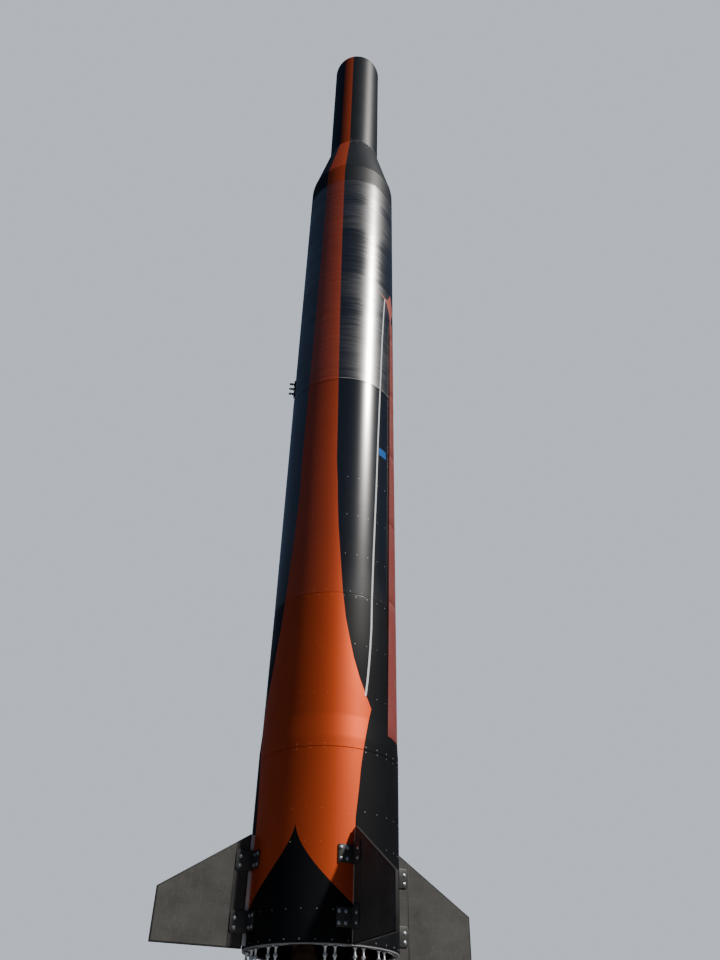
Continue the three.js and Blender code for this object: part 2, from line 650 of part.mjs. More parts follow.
const frameRise = FRAME_BOTTOM - ENGINE_PIVOT_HEIGHT + 2;
const actuatorRise = frameRise - ACTUATOR_TOP.rise;
const framePieces = [
  rodAlongZ(FRAME_HUB_RADIUS, FRAME_BOTTOM, FRAME_TOP, 12),
  tube(FRAME_RING_OUTER, FRAME_RING_INNER, FRAME_BOTTOM, FRAME_TOP, 36),
];
const spokeEnd = SKIRT_BORE * Math.cos(Math.PI / ROUND_STEPS) - 2;
for (const azimuth of ENGINE_AZIMUTHS) {
  const spokes = [[azimuth, FRAME_SPOKE_WIDTHS.engine], [azimuth + 60, FRAME_SPOKE_WIDTHS.between]];
  for (const [direction, width] of spokes) {
    const reach = Math.sqrt(spokeEnd ** 2 - (width / 2) ** 2);
    const spoke = block([0, reach], [-width / 2, width / 2], [FRAME_BOTTOM, FRAME_TOP]);
    framePieces.push(turnedTo(spoke, direction));
  }
  const ears = hangingEars(ENGINE_TONGUE.thickness, ENGINE_EAR, ENGINE_PIN_RADIUS, frameRise);
  for (const ear of ears) {
    framePieces.push(turnedTo(ear.translate(ENGINE_CIRCLE_RADIUS, 0, ENGINE_PIVOT_HEIGHT), azimuth));
  }
  const strutEars = hangingEars(ACTUATOR_EYE.thickness, ACTUATOR_EAR, ACTUATOR_PIN_RADIUS, actuatorRise);
  for (const ear of strutEars) {
    const placed = ear.translate(
      ENGINE_CIRCLE_RADIUS, ACTUATOR_TOP.across, ENGINE_PIVOT_HEIGHT + ACTUATOR_TOP.rise,
    );
    framePieces.push(turnedTo(placed, azimuth));
  }
}
addPiece(rocket, 'thrust_frame', join(...framePieces), 'frame_metal');

export default rocket;
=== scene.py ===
import math

import bmesh
import bpy
from bpy.props import FloatProperty, FloatVectorProperty, IntProperty, PointerProperty
from mathutils import Matrix, Vector


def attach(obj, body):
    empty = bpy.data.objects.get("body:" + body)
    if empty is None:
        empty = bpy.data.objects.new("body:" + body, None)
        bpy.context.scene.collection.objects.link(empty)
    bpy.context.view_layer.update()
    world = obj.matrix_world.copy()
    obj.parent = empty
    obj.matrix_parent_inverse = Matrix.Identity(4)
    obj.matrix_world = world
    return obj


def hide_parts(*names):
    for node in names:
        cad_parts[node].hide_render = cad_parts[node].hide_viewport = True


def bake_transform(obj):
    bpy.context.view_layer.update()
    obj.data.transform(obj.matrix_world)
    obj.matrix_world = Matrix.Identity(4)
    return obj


bl_info = {
    "name": "Launch rocket",
    "version": (1, 0, 0),
    "blender": (4, 5, 0),
    "location": "View3D > Sidebar > Rocket",
    "description": "Hull skins, fins, brackets, cable covers and engines of a small launch rocket",
    "category": "Add Mesh",
}

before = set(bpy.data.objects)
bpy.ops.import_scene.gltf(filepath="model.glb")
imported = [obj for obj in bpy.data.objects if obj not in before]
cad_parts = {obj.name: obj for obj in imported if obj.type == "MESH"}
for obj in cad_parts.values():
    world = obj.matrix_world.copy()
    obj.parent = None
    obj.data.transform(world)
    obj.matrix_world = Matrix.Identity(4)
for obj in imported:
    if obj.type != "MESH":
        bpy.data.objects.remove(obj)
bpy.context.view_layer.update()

# Sizes in metres, in the frame's own axes. Azimuths are in degrees from -Y towards +X.
SKIRT_RADIUS = 0.552
BODY_RADIUS = 0.535
UPPER_RADIUS = 0.331
SKIRT_BORE = 0.540
SKIRT_BOTTOM = 0.0143
SKIRT_TOP = 1.281
SEAM_GAP = 0.0003
SHOULDER = (1.360, 1.530)
SHOULDER_RADIUS = 0.5432
LOWER_TANK_TOP = 2.576
MID_TANK_TOP = 5.037
UPPER_TANK_TOP = 8.550
CONE_BOTTOM = 8.880
CONE_TOP = 9.800
CONE_FOOT_RADIUS = BODY_RADIUS - 0.0015
CONE_SLOPE = (BODY_RADIUS - UPPER_RADIUS) / (CONE_TOP - CONE_BOTTOM)
FAIRING_BOTTOM = 10.950
NOSE_BOTTOM = 12.190
NOSE_HEIGHT = 0.165
NOSE_RIM_INSET, NOSE_RIM_RISE = 0.0020, 0.0023
NOSE_STEPS = 16

# Solid sections from the skirt up: node, finish, and the outline as (radius, height)
STACK = [
    ("lower_tank", "low_hull", [(SKIRT_RADIUS, SKIRT_TOP), (SKIRT_RADIUS, SHOULDER[0]),
                                (SHOULDER_RADIUS, SHOULDER[1]), (BODY_RADIUS, LOWER_TANK_TOP)]),
    ("mid_tank", "hull", [(BODY_RADIUS, LOWER_TANK_TOP), (BODY_RADIUS, MID_TANK_TOP)]),
    ("upper_tank", "wound", [(BODY_RADIUS, MID_TANK_TOP), (BODY_RADIUS, UPPER_TANK_TOP)]),
    ("forward_skirt", "upper", [(BODY_RADIUS, UPPER_TANK_TOP), (BODY_RADIUS, CONE_BOTTOM - 0.08),
                                (CONE_FOOT_RADIUS, CONE_BOTTOM)]),
    ("interstage_cone", "upper", [(CONE_FOOT_RADIUS, CONE_BOTTOM), (BODY_RADIUS - 0.008, CONE_BOTTOM + 0.042),
                                  (BODY_RADIUS - CONE_SLOPE * 0.095, CONE_BOTTOM + 0.095),
                                  (UPPER_RADIUS, CONE_TOP)]),
    ("upper_stage", "upper", [(UPPER_RADIUS, CONE_TOP), (UPPER_RADIUS, FAIRING_BOTTOM)]),
    ("payload_fairing", "upper", [(UPPER_RADIUS, FAIRING_BOTTOM), (UPPER_RADIUS, NOSE_BOTTOM)]),
]
# Points beside an outline's corners keep this distance, or this share of a short side
CORNER_DISTANCE, CORNER_SHARE = 0.015, 0.3

# Beads of sealant and raised bands over the hull's joints: piece, finish, slot, and each one's bottom, top,
# radius of the hull there, and how far it stands proud
JOINT_BANDS = [
    ("sealant_beads", "sealant", "bare_steel", [
        (5.0482, 5.0570, BODY_RADIUS, 0.0014), (9.8030, 9.8118, UPPER_RADIUS, 0.0018)]),
    ("tank_joint_bands", "hull", "black_composite", [
        (5.0190, 5.0360, BODY_RADIUS, 0.0012), (5.0390, 5.0480, BODY_RADIUS, 0.0012)]),
    ("upper_joint_bands", "upper", "satin_black", [
        (9.8120, 9.8280, UPPER_RADIUS, 0.0016), (12.160, 12.188, UPPER_RADIUS, 0.0012)]),
]
# How deep a band reaches into the hull, and its chamfer inwards and along the hull
BAND_DEPTH = 0.002
BAND_CHAMFER = (0.0006, 0.0008)

# Rings of screw heads: height, hull radius or None where the tank tapers, count, head radius, first azimuth
SCREW_RINGS = {
    "skirt_screws": [
        (0.028, SKIRT_RADIUS, 32, 0.0058, -3.1), (0.205, SKIRT_RADIUS, 32, 0.0050, -3.1),
        (0.622, SKIRT_RADIUS, 32, 0.0050, -3.1), (0.839, SKIRT_RADIUS, 32, 0.0050, -3.1),
        (1.265, SKIRT_RADIUS, 32, 0.0058, -3.1), (1.302, SKIRT_RADIUS, 32, 0.0058, -3.1)],
    "tank_screws": [
        (1.704, None, 32, 0.0050, -3.1), (2.126, None, 32, 0.0050, -3.1), (2.551, None, 32, 0.0058, -3.1),
        (2.600, BODY_RADIUS, 32, 0.0050, 2.5), (2.965, BODY_RADIUS, 32, 0.0050, -3.1),
        (3.375, BODY_RADIUS, 32, 0.0050, -3.1), (3.794, BODY_RADIUS, 32, 0.0050, -3.1)],
    "upper_screws": [
        (8.585, BODY_RADIUS, 32, 0.0050, -3.1), (8.855, BODY_RADIUS, 64, 0.0046, -3.1),
        (9.768, UPPER_RADIUS + 0.0075, 24, 0.0046, 0.0), (9.856, UPPER_RADIUS, 24, 0.0046, 0.0),
        (10.930, UPPER_RADIUS, 24, 0.0044, 0.0), (10.972, UPPER_RADIUS, 24, 0.0044, 7.5)],
}
SCREW_SINK = 0.0004
# Room that screws leave: degrees and height round a cable cover, and round a fin's bracket
COVER_ROOM = (12.8, 0.02)
BRACKET_ROOM = (12.8, 0.07)

# Cable covers: height, half width in degrees, how far the cover stands proud
COVER_STATIONS = [(1.450, 11.7, 0.015), (SHOULDER[1], 11.53, 0.015), (2.645, 9.2, 0.015), (4.283, 6.7, 0.015),
                  (5.957, 4.8, 0.015), (6.235, 3.8, 0.008)]
COVER_BOTTOM, COVER_TOP = COVER_STATIONS[0][0], COVER_STATIONS[-1][0]
COVER_AZIMUTHS = {"right": 90, "left": 270}
COVER_JOINTS = [2.645, 3.460, 4.283, 5.110]
COVER_GAP = 0.0006
COVER_EDGE = 0.0052
COVER_LIFT = 0.0008
# A cover's mesh: the length of a face along it, and how many faces lie side by side
COVER_STEP, COVER_COLUMNS = 0.1, 24
# Screws along each edge of a cover
COVER_SCREWS = {"count": 24, "bottom": 1.51, "top": 5.88, "inset": 0.014}
# Small round or many-sided bars, here and below: radius, bottom, top, sides, edge, radius at the top
COVER_SCREW = (0.0055, 0, 0.0022, 10, 0.0008, 0.0045)

# Umbilical connector: its place, its plate's low and high corner, and a prong's steps as (radius, start, end)
CONNECTOR_AZIMUTH, CONNECTOR_HEIGHT = -60.5, 5.305
CONNECTOR_PLATE = ((BODY_RADIUS + 0.0005, -0.030, -0.105), (BODY_RADIUS + 0.010, 0.030, 0.105))
CONNECTOR_PRONG = ((0.015, 0.008, 0.050), (0.0125, 0.048, 0.0635), (0.019, 0.008, 0.016))
CONNECTOR_EDGE, PRONG_EDGE = 0.0025, 0.0015
CONNECTOR_PITCH = 0.070
# Screws sink this far into the plate, and what stands farther out than this is steel
PLATE_SKIN = 0.0005
CONNECTOR_SCREWS = {"aside": (-0.023, 0.023), "rise": (-0.097, -0.035, 0.035, 0.097)}
CONNECTOR_SCREW = (0.004, 0, 0.003, 10, 0.0008)

FIN_AZIMUTHS = [45, 135, 225, 315]
FIN_ROOT, FIN_JOINT, FIN_TIP = 0.582, 0.685, 1.209
FIN_ROOT_HEIGHT, FIN_TIP_HEIGHT = 0.731, 0.334
FIN_SWEEP = (FIN_ROOT_HEIGHT - FIN_TIP_HEIGHT) / (FIN_TIP - FIN_ROOT)
RAIL_BOTTOM, RAIL_TOP = 0.020, FIN_ROOT_HEIGHT - 0.006
RAIL_CLEARANCE, RAIL_EDGE = 0.001, 0.0008

# Fin brackets: a curved plate on the skirt and two ears beside the fin's root, as (radius, height)
BRACKET_HEIGHTS = {"upper": 0.550, "lower": 0.160}
BRACKET_HALF_HEIGHT = 0.059
BRACKET_HALF_ANGLE = 12.1
BRACKET_INNER, BRACKET_OUTER = SKIRT_RADIUS + 0.0008, SKIRT_RADIUS + 0.0088
BRACKET_EDGE = 0.0016
BRACKET_EAR = [(0.5568, -0.068), (0.666, -0.068), (0.682, -0.052), (0.682, 0.052), (0.666, 0.068),
               (0.5568, 0.068)]
EAR_THICKNESS, EAR_ASIDE, EAR_EDGE = 0.008, 0.0153, 0.0014
PLATE_BOLTS = {"degrees": (-10.2, -5.4, 5.4, 10.2), "rise": (-0.035, 0.035)}
EAR_BOLTS = {"radius": 0.650, "aside": 0.0190, "rise": (-0.040, 0.020)}

# Bolts: radius of the head, its height, radius of the washer; some sink in a little
BRACKET_BOLT = (0.0085, 0.0075, 0.0125)
FRAME_BOLT = (0.006, 0.006, 0.009)
ENGINE_BOLT = (0.0038, 0.004, 0.0055)
PIPE_BOLT = (0.0028, 0.003, 0.0042)
BOLT_SINK = 0.0003

# Base ring, whose outer face is pale below its lip, and its studs
RING_INNER, RING_OUTER, RING_HEIGHT = 0.500, 0.548, 0.014
RING_EDGE = 0.0014
RING_GAP_ANGLE = 0.0003
RING_LIP, LIP_INSIDE = 0.007, 0.546
STUD_CIRCLE = 0.516
STUD_BOTTOM, STUD_TOP = -0.110, 0.005
THREAD = {"pitch": 0.004, "turns": 26, "crest": 0.0080, "root": 0.0068, "bottom": -0.108, "top": -0.003,
          "chamfer": 0.001}
# Pairs of studs: degrees from the fin to each pair's middle, and from there to each stud
STUD_PAIRS, STUD_HALF_ANGLE = (-15, 7.5, 30), 3.6
# Nuts and washer on a stud
STUD_NUTS = [(0.0150, -0.065, -0.052, 6, 0.0016), (0.0150, -0.0520, -0.0490, 24, 0.0008),
             (0.0145, -0.0105, -0.0005, 6, 0.0014)]

# Tank's dished end, with the outline of a weld as (outwards, up)
DOME_APEX, DOME_DEPTH = 0.600, 0.160
DOME_RADIUS = SKIRT_BORE - SEAM_GAP
DOME_WELDS = (0.14, 0.33, 0.49)
WELD_OUTLINE = [(-0.009, 0.002), (-0.004, -0.0035), (0.004, -0.0028), (0.009, 0.004)]

# Engines and what swings them
ENGINE_AZIMUTHS = [0, 120, 240]
ENGINE_RADIUS, ENGINE_HEIGHT = 0.270, 0.400
ACTUATOR_ACROSS, ACTUATOR_RISE = 0.230, 0.030
LUG_REACH, LUG_DROP = 0.110, 0.200
ACTUATOR_LENGTH = math.hypot(LUG_REACH - ACTUATOR_ACROSS, LUG_DROP + ACTUATOR_RISE)
ACTUATOR_TILT = math.atan2(LUG_REACH - ACTUATOR_ACROSS, LUG_DROP + ACTUATOR_RISE)

# Frame that carries the engines: a hub, a ring, spokes in two lengths, and pairs of ears below it
FRAME_BOTTOM, FRAME_TOP = 0.470, 0.530
FRAME_HUB_RADIUS = 0.090
FRAME_RING_INNER, FRAME_RING_OUTER = 0.328, 0.382
FRAME_BOSS = (0.045, 0.462, 0.472, 48, 0.0015)
FRAME_EDGE, FRAME_RING_EDGE, FRAME_EAR_EDGE = 0.003, 0.002, 0.0012
# Spokes: width by degrees from an engine, and where each of the two lengths starts and ends
SPOKE_WIDTHS = {0: 0.080, 60: 0.050}
SPOKE_LENGTHS = ((0.085, 0.330), (0.380, 0.536))
SPOKE_INSET = 0.0005
SPOKE_BOLT_RADII = (0.345, 0.365)
# Pairs of ears: half the gap, thickness, radius, height to the frame, place of the pin
FRAME_EARS = [
    (0.018, 0.014, 0.035, 0.072, (ENGINE_RADIUS, 0, ENGINE_HEIGHT)),
    (0.0115, 0.010, 0.020, 0.042, (ENGINE_RADIUS, ACTUATOR_ACROSS, ENGINE_HEIGHT + ACTUATOR_RISE)),
]

# An engine about its pin, as (radius, height): its bell from the chamber down, and its head
BELL_OUTSIDE = [(0.079, -0.262), (0.046, -0.340), (0.063, -0.392), (0.102, -0.506), (0.125, -0.600)]
BELL_INSIDE = [(0.120, -0.600), (0.097, -0.506), (0.058, -0.392), (0.041, -0.340), (0.072, -0.262)]
CHAMBER_OUTSIDE = [(0.079, -0.104)]
CHAMBER_INSIDE = [(0.072, -0.112), (0, -0.112), (0, -0.104)]
# Hoops round an engine: radius, height, half width
BELL_HOOPS = [(0.0797, -0.135, 0.010), (0.0797, -0.250, 0.010), (0.1085, -0.530, 0.007),
              (0.1200, -0.586, 0.007)]
# How deep a hoop reaches into the wall, how far it stands proud, and its crest's share of its width
HOOP_DEPTH, HOOP_RISE, HOOP_FLAT = 0.006, 0.001, 0.6
HEAD_OUTLINE = [
    (0, -0.055), (0.052, -0.055), (0.060, -0.0565), (0.0905, -0.0745), (0.092, -0.0765), (0.092, -0.0865),
    (0.0905, -0.0875), (0.088, -0.0875), (0.088, -0.0885), (0.0905, -0.0885), (0.092, -0.0895),
    (0.092, -0.0965), (0.0905, -0.098), (0.079, -0.1045), (0, -0.1045)]
LUG_BAND = [(0.0785, -0.222), (0.0815, -0.222), (0.0815, -0.178), (0.0785, -0.178)]
TONGUE_RADIUS, TONGUE_DROP, TONGUE_THICKNESS, TONGUE_EDGE = 0.030, 0.060, 0.032, 0.002
LUG_RADIUS, LUG_ROOT, LUG_THICKNESS, LUG_EDGE = 0.016, 0.075, 0.012, 0.001
ENGINE_PIN = (0.012, -0.032, 0.032, 32, 0.001)
INLET_FLANGE = (0.026, -0.056, -0.051, 32, 0.001)
HEAD_BOLTS = {"count": 18, "radius": 0.0850, "height": -0.0975}

# An actuator about its upper pin: its barrel as (radius, height), its ports and its rod's fork
BARREL_OUTLINE = [
    (0, -0.026), (0.0225, -0.026), (0.024, -0.0275), (0.024, -0.040), (0.0215, -0.043), (0.0215, -0.140),
    (0.024, -0.143), (0.024, -0.1585), (0.0225, -0.160), (0.0125, -0.160), (0.0125, -0.045), (0, -0.045)]
BARREL_EYE_RADIUS, BARREL_EYE_HEIGHT, BARREL_EYE_THICKNESS, BARREL_EYE_EDGE = 0.018, 0.032, 0.020, 0.0012
BARREL_PIN = (0.007, -0.0215, 0.0215, 24, 0.0008)
BARREL_PORT = (0.0055, 0.018, 0.029, 6, 0.001)
PORT_LEVELS = (-0.050, -0.133)
ROD_BAR = (0.0105, -0.228, -0.075, 36, 0.001)
ROD_NUT = (0.0128, -0.2275, -0.218, 6, 0.001)
FORK_BLOCK, FORK_BLOCK_EDGE = ((-0.0145, -0.013, -0.238), (0.0145, 0.013, -0.226)), 0.0015
FORK_RADIUS, FORK_TOP = 0.013, 0.234
CHEEK_THICKNESS, CHEEK_ASIDE, CHEEK_EDGE = 0.007, 0.011, 0.001
FORK_PIN = (0.006, -0.0165, 0.0165, 24, 0.0008)

# Feed lines as (radius, height): the pipe, and the bellows with its ribs
FEED_LINE_AT = (0.236, -0.068)
PIPE_OUTLINE = [
    (0, 0.421), (0.028, 0.421), (0.0295, 0.4225), (0.0295, 0.4315), (0.028, 0.433), (0.018, 0.433),
    (0.018, 0.610), (0.0285, 0.610), (0.030, 0.6115), (0.030, 0.620), (0, 0.620)]
BELLOWS_FOOT = [(0, 0.3465), (0.0275, 0.3465), (0.029, 0.348), (0.029, 0.3555), (0.0275, 0.357)]
BELLOWS_HEAD = [(0.0195, 0.4180), (0.0275, 0.4195), (0.0275, 0.4208), (0, 0.4208)]
BELLOWS_RIB = [(0.0195, 0.0), (0.0245, 0.0022), (0.0255, 0.0041), (0.0245, 0.0060)]
RIB_COUNT, RIB_BOTTOM, RIB_PITCH = 7, 0.360, 0.0082
PIPE_BOLTS = {"count": 8, "radius": 0.0240, "height": 0.4326}

# The hull's shine: height, roughness, weight of the clear coat
SHEEN = [(0.00, 0.62, 0.00), (1.90, 0.60, 0.02), (2.25, 0.55, 0.30), (2.56, 0.50, 0.30), (2.60, 0.40, 0.50),
         (2.90, 0.30, 0.60), (3.30, 0.24, 0.90), (3.90, 0.22, 1.00), (5.02, 0.22, 1.00), (5.06, 0.34, 1.00),
         (8.54, 0.34, 0.95), (8.56, 0.52, 0.02), (8.87, 0.52, 0.02), (8.89, 0.42, 0.05), (12.5, 0.40, 0.06)]
# How far the stripes are turned at each height, in degrees
STRIPE_MIDDLE = [(0.00, 0.4), (0.72, 0.4), (1.00, 1.0), (2.60, 0.0), (3.70, 0.0), (4.00, -1.2), (8.70, -1.2),
                 (9.00, -0.4), (12.5, -0.4)]
# How broadly the wound tank glows beside its highlight at each height, from 0 to 1
GLOW = [(5.04, 0.45), (5.11, 0.70), (5.40, 0.85), (5.95, 0.60), (6.05, 0.35), (6.28, 0.40), (6.35, 0.90),
        (6.65, 0.80), (6.74, 0.05), (7.48, 0.05), (7.58, 0.95), (8.02, 0.90), (8.08, 0.35), (8.20, 0.35),
        (8.27, 1.00), (8.55, 0.90)]
# The front stripe's half width in degrees at each height, below and above where it starts to narrow slowly
STRIPE_NECK = 2.60
STRIPE_LOW = [(0.80, 44.8), (1.059, 47.2), (1.152, 48.1), (1.291, 50.3), (1.372, 51.7), (1.501, 54.8),
              (1.613, 57.9), (1.696, 53.4), (1.843, 46.5), (2.008, 40.8), (2.200, 36.2), (2.350, 33.0),
              (STRIPE_NECK, 29.6)]
STRIPE_HIGH = [(STRIPE_NECK, 29.6), (2.950, 26.2), (3.250, 23.3), (3.560, 21.4), (3.900, 20.3), (4.300, 19.5),
               (4.900, 18.2), (5.400, 17.2), (6.000, 16.0), (6.600, 15.0), (7.400, 13.9), (8.300, 13.1),
               (9.800, 12.4), (12.50, 11.5)]
# Where the tables of stripes and shine end
HULL_TOP = 12.50
# The black spade that cuts into a stripe from below: its point's height, and how far and in what bow it falls
SPADE_TOP, SPADE_FALL, SPADE_BOW = 0.748, 0.51, 0.63
# The thin white line's azimuth at each height, and where it ends
LINE_PATH = [(1.703, 52.7), (1.840, 54.5), (1.979, 55.9), (2.121, 57.0), (2.299, 58.1), (2.575, 58.5),
             (3.047, 59.9), (3.787, 62.7), (4.329, 64.4), (4.918, 66.7), (5.369, 68.5), (5.814, 70.4),
             (6.270, 73.2), (6.532, 75.6)]
LINE_ENDS = (1.712, 6.524)
# The painted fork above each cable cover: upper and lower edge as (degrees from the cover's middle, height)
FORK_UPPER = [(0.0, 6.730), (5.2, 6.615), (10.8, 6.540), (14.4, 6.544), (24.4, 6.568), (30.0, 6.568)]
FORK_LOWER = [(0.0, 6.150), (3.6, 6.365), (10.3, 6.479), (14.4, 6.516), (24.4, 6.556), (30.0, 6.580)]
# The strip of tape: its azimuths and its heights
TAPE_AZIMUTHS, TAPE_HEIGHTS = (66.0, 77.5), (4.180, 4.270)

# Painted hull finishes: colour setting, depth of the ripple, how much of it the hull shows outside the wound
# tank, grain, specular level, the coat's roughness and its IOR
PAINTED_HULLS = {
    "hull": ("black", 0.008, 0.05, 0.06, 0.25, 0.165, 2.3),
    "wound": ("black", 0.008, 0.05, 0.06, 0.5, 0.24, 2.5),
    "low_hull": ("black", 0.006, 0.04, 0.06, 0.14, 0.30, 1.5),
    "upper": ("upper", 0.003, 0.10, 0.4, 0.20, 0.20, 1.5),
}
# Worn paints: colour, colour beneath, roughness, metallic, weight of scuffs, weight of dust, size of scuffs
WORN_PAINTS = {
    "screw": ((0.06, 0.07, 0.085), (0.45, 0.47, 0.5), 0.35, 0.7, 0.5, 0.2, 90.0),
    "cover": ((0.27, 0.054, 0.046), (0.36, 0.2, 0.16), 0.55, 0.0, 0.3, 0.7, 22.0),
    "bracket": ((0.050, 0.051, 0.048), (0.20, 0.20, 0.19), 0.5, 0.1, 0.25, 0.4, 40.0),
    "rail": ((0.60, 0.60, 0.61), (0.45, 0.45, 0.46), 0.5, 0.2, 0.3, 0.5, 40.0),
    "lip": ((0.40, 0.40, 0.41), (0.30, 0.30, 0.31), 0.45, 0.3, 0.3, 0.5, 40.0),
}
# Finishes painted over where they cross a stripe: scale, detail and range of the mottling, dark and light
# tone, how bright the paint is, range of the roughness, metallic
OVERPAINTED = {
    "hull_screw": (90.0, 3.0, (0.4, 0.6), (0.16, 0.17, 0.19), (0.34, 0.35, 0.37), 0.92, (0.35, 0.55), 0.6),
    "sealant": (6.0, 5.0, (0.35, 0.65), (0.10, 0.105, 0.11), (0.34, 0.35, 0.36), 0.80, (0.45, 0.6), 0.0),
}
# Bare metals: colour, roughness, stretch of the drawn lines, their scale
BARE_METALS = {
    "steel": ((0.78, 0.80, 0.83), 0.34, (1, 1, 30), 18.0),
    "dark_steel": ((0.060, 0.062, 0.066), 0.42, (1, 1, 6), 24.0),
    "frame": ((0.42, 0.43, 0.45), 0.42, (1, 1, 4), 30.0),
    "chrome_rod": ((0.75, 0.76, 0.78), 0.14, (1, 1, 60), 40.0),
}
# Unpainted composites and heat-darkened ones: dark and light tone
RAW_COMPOSITES = {
    "fin": ((0.034, 0.033, 0.031), (0.083, 0.080, 0.075)),
    "fin_edge": ((0.012, 0.012, 0.0115), (0.026, 0.0255, 0.024)),
}
CHARRED = {"nozzle": ((0.030, 0.016, 0.010), (0.150, 0.075, 0.045))}

# How strong the soft light is, by the upward part of its direction, and its colours low and high
SKY_BY_HEIGHT = [(-1.0, 0.3), (-0.2, 0.35), (0.02, 1.4), (0.35, 1.8), (0.60, 1.1), (1.0, 1.0)]
SKY_LOW, SKY_HIGH = (0.66, 0.80, 1.0), (0.38, 0.56, 1.0)
BACKDROP = (0.60, 0.66, 0.74)
FLOOR_RADIUS = 2.7
FLOOR_TONES = ((0.31, 0.31, 0.313), (0.34, 0.34, 0.344))
# Lights: name, setting of its strength, width of its disc in degrees, colour, azimuth, elevation
LIGHTS = [
    ("key", "sun", 4, (1.0, 0.96, 0.90), 81.0, 46),
    ("far_side", "far_side", 30, (0.82, 0.90, 1.0), 203.0, 12),
]
# The camera, fitted to the photograph, with its lens in pixels of a picture 720 wide and 960 high
CAMERA_AZIMUTH, CAMERA_DISTANCE, CAMERA_HEIGHT = 23.39, 6.5385, -0.7665
CAMERA_PITCH, CAMERA_ROLL, CAMERA_YAW = 36.99, 1.356, 1.716
LENS_PIXELS, PICTURE_HEIGHT = 815, 960
SENSOR_SIZE = 36


class HullSettings(bpy.types.PropertyGroup):
    round_steps: IntProperty(
        name="Round steps", description="Sides of each round skin", default=192, min=24, max=256)
    edge: FloatProperty(
        name="Seam rounding", description="Radius of a skin's edge at a seam", default=0.0028, min=0.0005,
        max=0.01, unit="LENGTH")
    screw_height: FloatProperty(
        name="Screw head height", description="How far a screw head stands off the hull", default=0.0013,
        min=0.0005, max=0.01, unit="LENGTH")


class LiverySettings(bpy.types.PropertyGroup):
    stripe: FloatVectorProperty(
        name="Stripe", description="Colour of the wide stripes", subtype="COLOR", size=3, min=0, max=1,
        default=(0.86, 0.125, 0.036))
    black: FloatVectorProperty(
        name="Body", description="Colour of the lower hull", subtype="COLOR", size=3, min=0, max=1,
        default=(0.0045, 0.0052, 0.0068))
    upper: FloatVectorProperty(
        name="Upper body", description="Colour of the cone and everything above it", subtype="COLOR", size=3,
        min=0, max=1, default=(0.017, 0.021, 0.026))
    line: FloatVectorProperty(
        name="Line", description="Colour of the thin lines", subtype="COLOR", size=3, min=0, max=1,
        default=(0.80, 0.82, 0.84))
    fork: FloatVectorProperty(
        name="Fork", description="Colour of the forks above the cable covers", subtype="COLOR", size=3, min=0,
        max=1, default=(0.62, 0.16, 0.10))
    tape: FloatVectorProperty(
        name="Tape", description="Colour of the strip of tape", subtype="COLOR", size=3, min=0, max=1,
        default=(0.03, 0.16, 0.55))
    line_half_width: FloatProperty(
        name="Line half width", description="Half the width of a thin line", default=0.0085,
        min=0.002, max=0.05, unit="LENGTH")


class FinSettings(bpy.types.PropertyGroup):
    thickness: FloatProperty(
        name="Thickness", description="Thickness of a fin", default=0.022, min=0.005, max=0.05, unit="LENGTH")
    edge: FloatProperty(
        name="Edge", description="Rounding of a fin's edges", default=0.0018, min=0.0002, max=0.01,
        unit="LENGTH")
    border: FloatProperty(
        name="Border", description="Width of the dark border round a fin", default=0.008, min=0.001, max=0.05,
        unit="LENGTH")
    rail: FloatProperty(
        name="Rail", description="Thickness of the rail between the hull and a fin", default=0.010, min=0.002,
        max=0.02, unit="LENGTH")


class EngineSettings(bpy.types.PropertyGroup):
    round_steps: IntProperty(
        name="Round steps", description="Sides of an engine's bell", default=72, min=16, max=160)


class StageSettings(bpy.types.PropertyGroup):
    floor: FloatProperty(name="Floor", description="Height of the floor", default=-0.80, unit="LENGTH")
    sun: FloatProperty(name="Sun", description="Strength of the key light", default=4.6, min=0, max=20)
    far_side: FloatProperty(
        name="Far side", description="Strength of the soft light on the far side", default=1.1, min=0, max=20)
    sky: FloatProperty(
        name="Sky", description="Strength of the soft light from all sides", default=0.08, min=0, max=5)


# Shapes

def round_edges(bm, edges, width, segments=2):
    """Rounds the given edges."""
    bmesh.ops.bevel(
        bm, geom=list(edges), offset=width, offset_type="OFFSET", segments=segments, profile=0.5,
        affect="EDGES", clamp_overlap=True, material=-1)


def sharp_edges(bm, degrees=40):
    """The edges whose two faces meet at more than an angle."""
    limit = math.radians(degrees)
    return [edge for edge in bm.edges if len(edge.link_faces) == 2 and edge.calc_face_angle() > limit]


def move(bm, place):
    """Moves a whole shape to a place."""
    bmesh.ops.transform(bm, matrix=place, verts=bm.verts)


def turned(profile, steps, closed=False, start=0.0, sweep=math.tau):
    """A shape turned about Z. Its profile is a list of (radius, height)."""
    whole = abs(sweep - math.tau) < 1e-6
    bm = bmesh.new()
    corners = [bm.verts.new((radius * math.cos(start), radius * math.sin(start), height))
               for radius, height in profile]
    edges = [bm.edges.new(pair) for pair in zip(corners, corners[1:])]
    if closed:
        edges.append(bm.edges.new((corners[-1], corners[0])))
    bmesh.ops.spin(
        bm, geom=corners + edges, axis=(0, 0, 1), cent=(0, 0, 0), angle=sweep, steps=steps, use_merge=whole)
    bmesh.ops.remove_doubles(bm, verts=bm.verts, dist=1e-6)
    if not whole:
        bmesh.ops.holes_fill(bm, edges=[edge for edge in bm.edges if edge.is_boundary], sides=0)
    bmesh.ops.recalc_face_normals(bm, faces=bm.faces)
    return bm


def block(low, high, edge):
    """A box between two corners, with rounded edges."""
    low, high = Vector(low), Vector(high)
    bm = bmesh.new()
    bmesh.ops.create_cube(bm, size=1)
    bmesh.ops.scale(bm, vec=high - low, verts=bm.verts)
    bmesh.ops.translate(bm, vec=(low + high) / 2, verts=bm.verts)
    round_edges(bm, bm.edges, edge)
    return bm


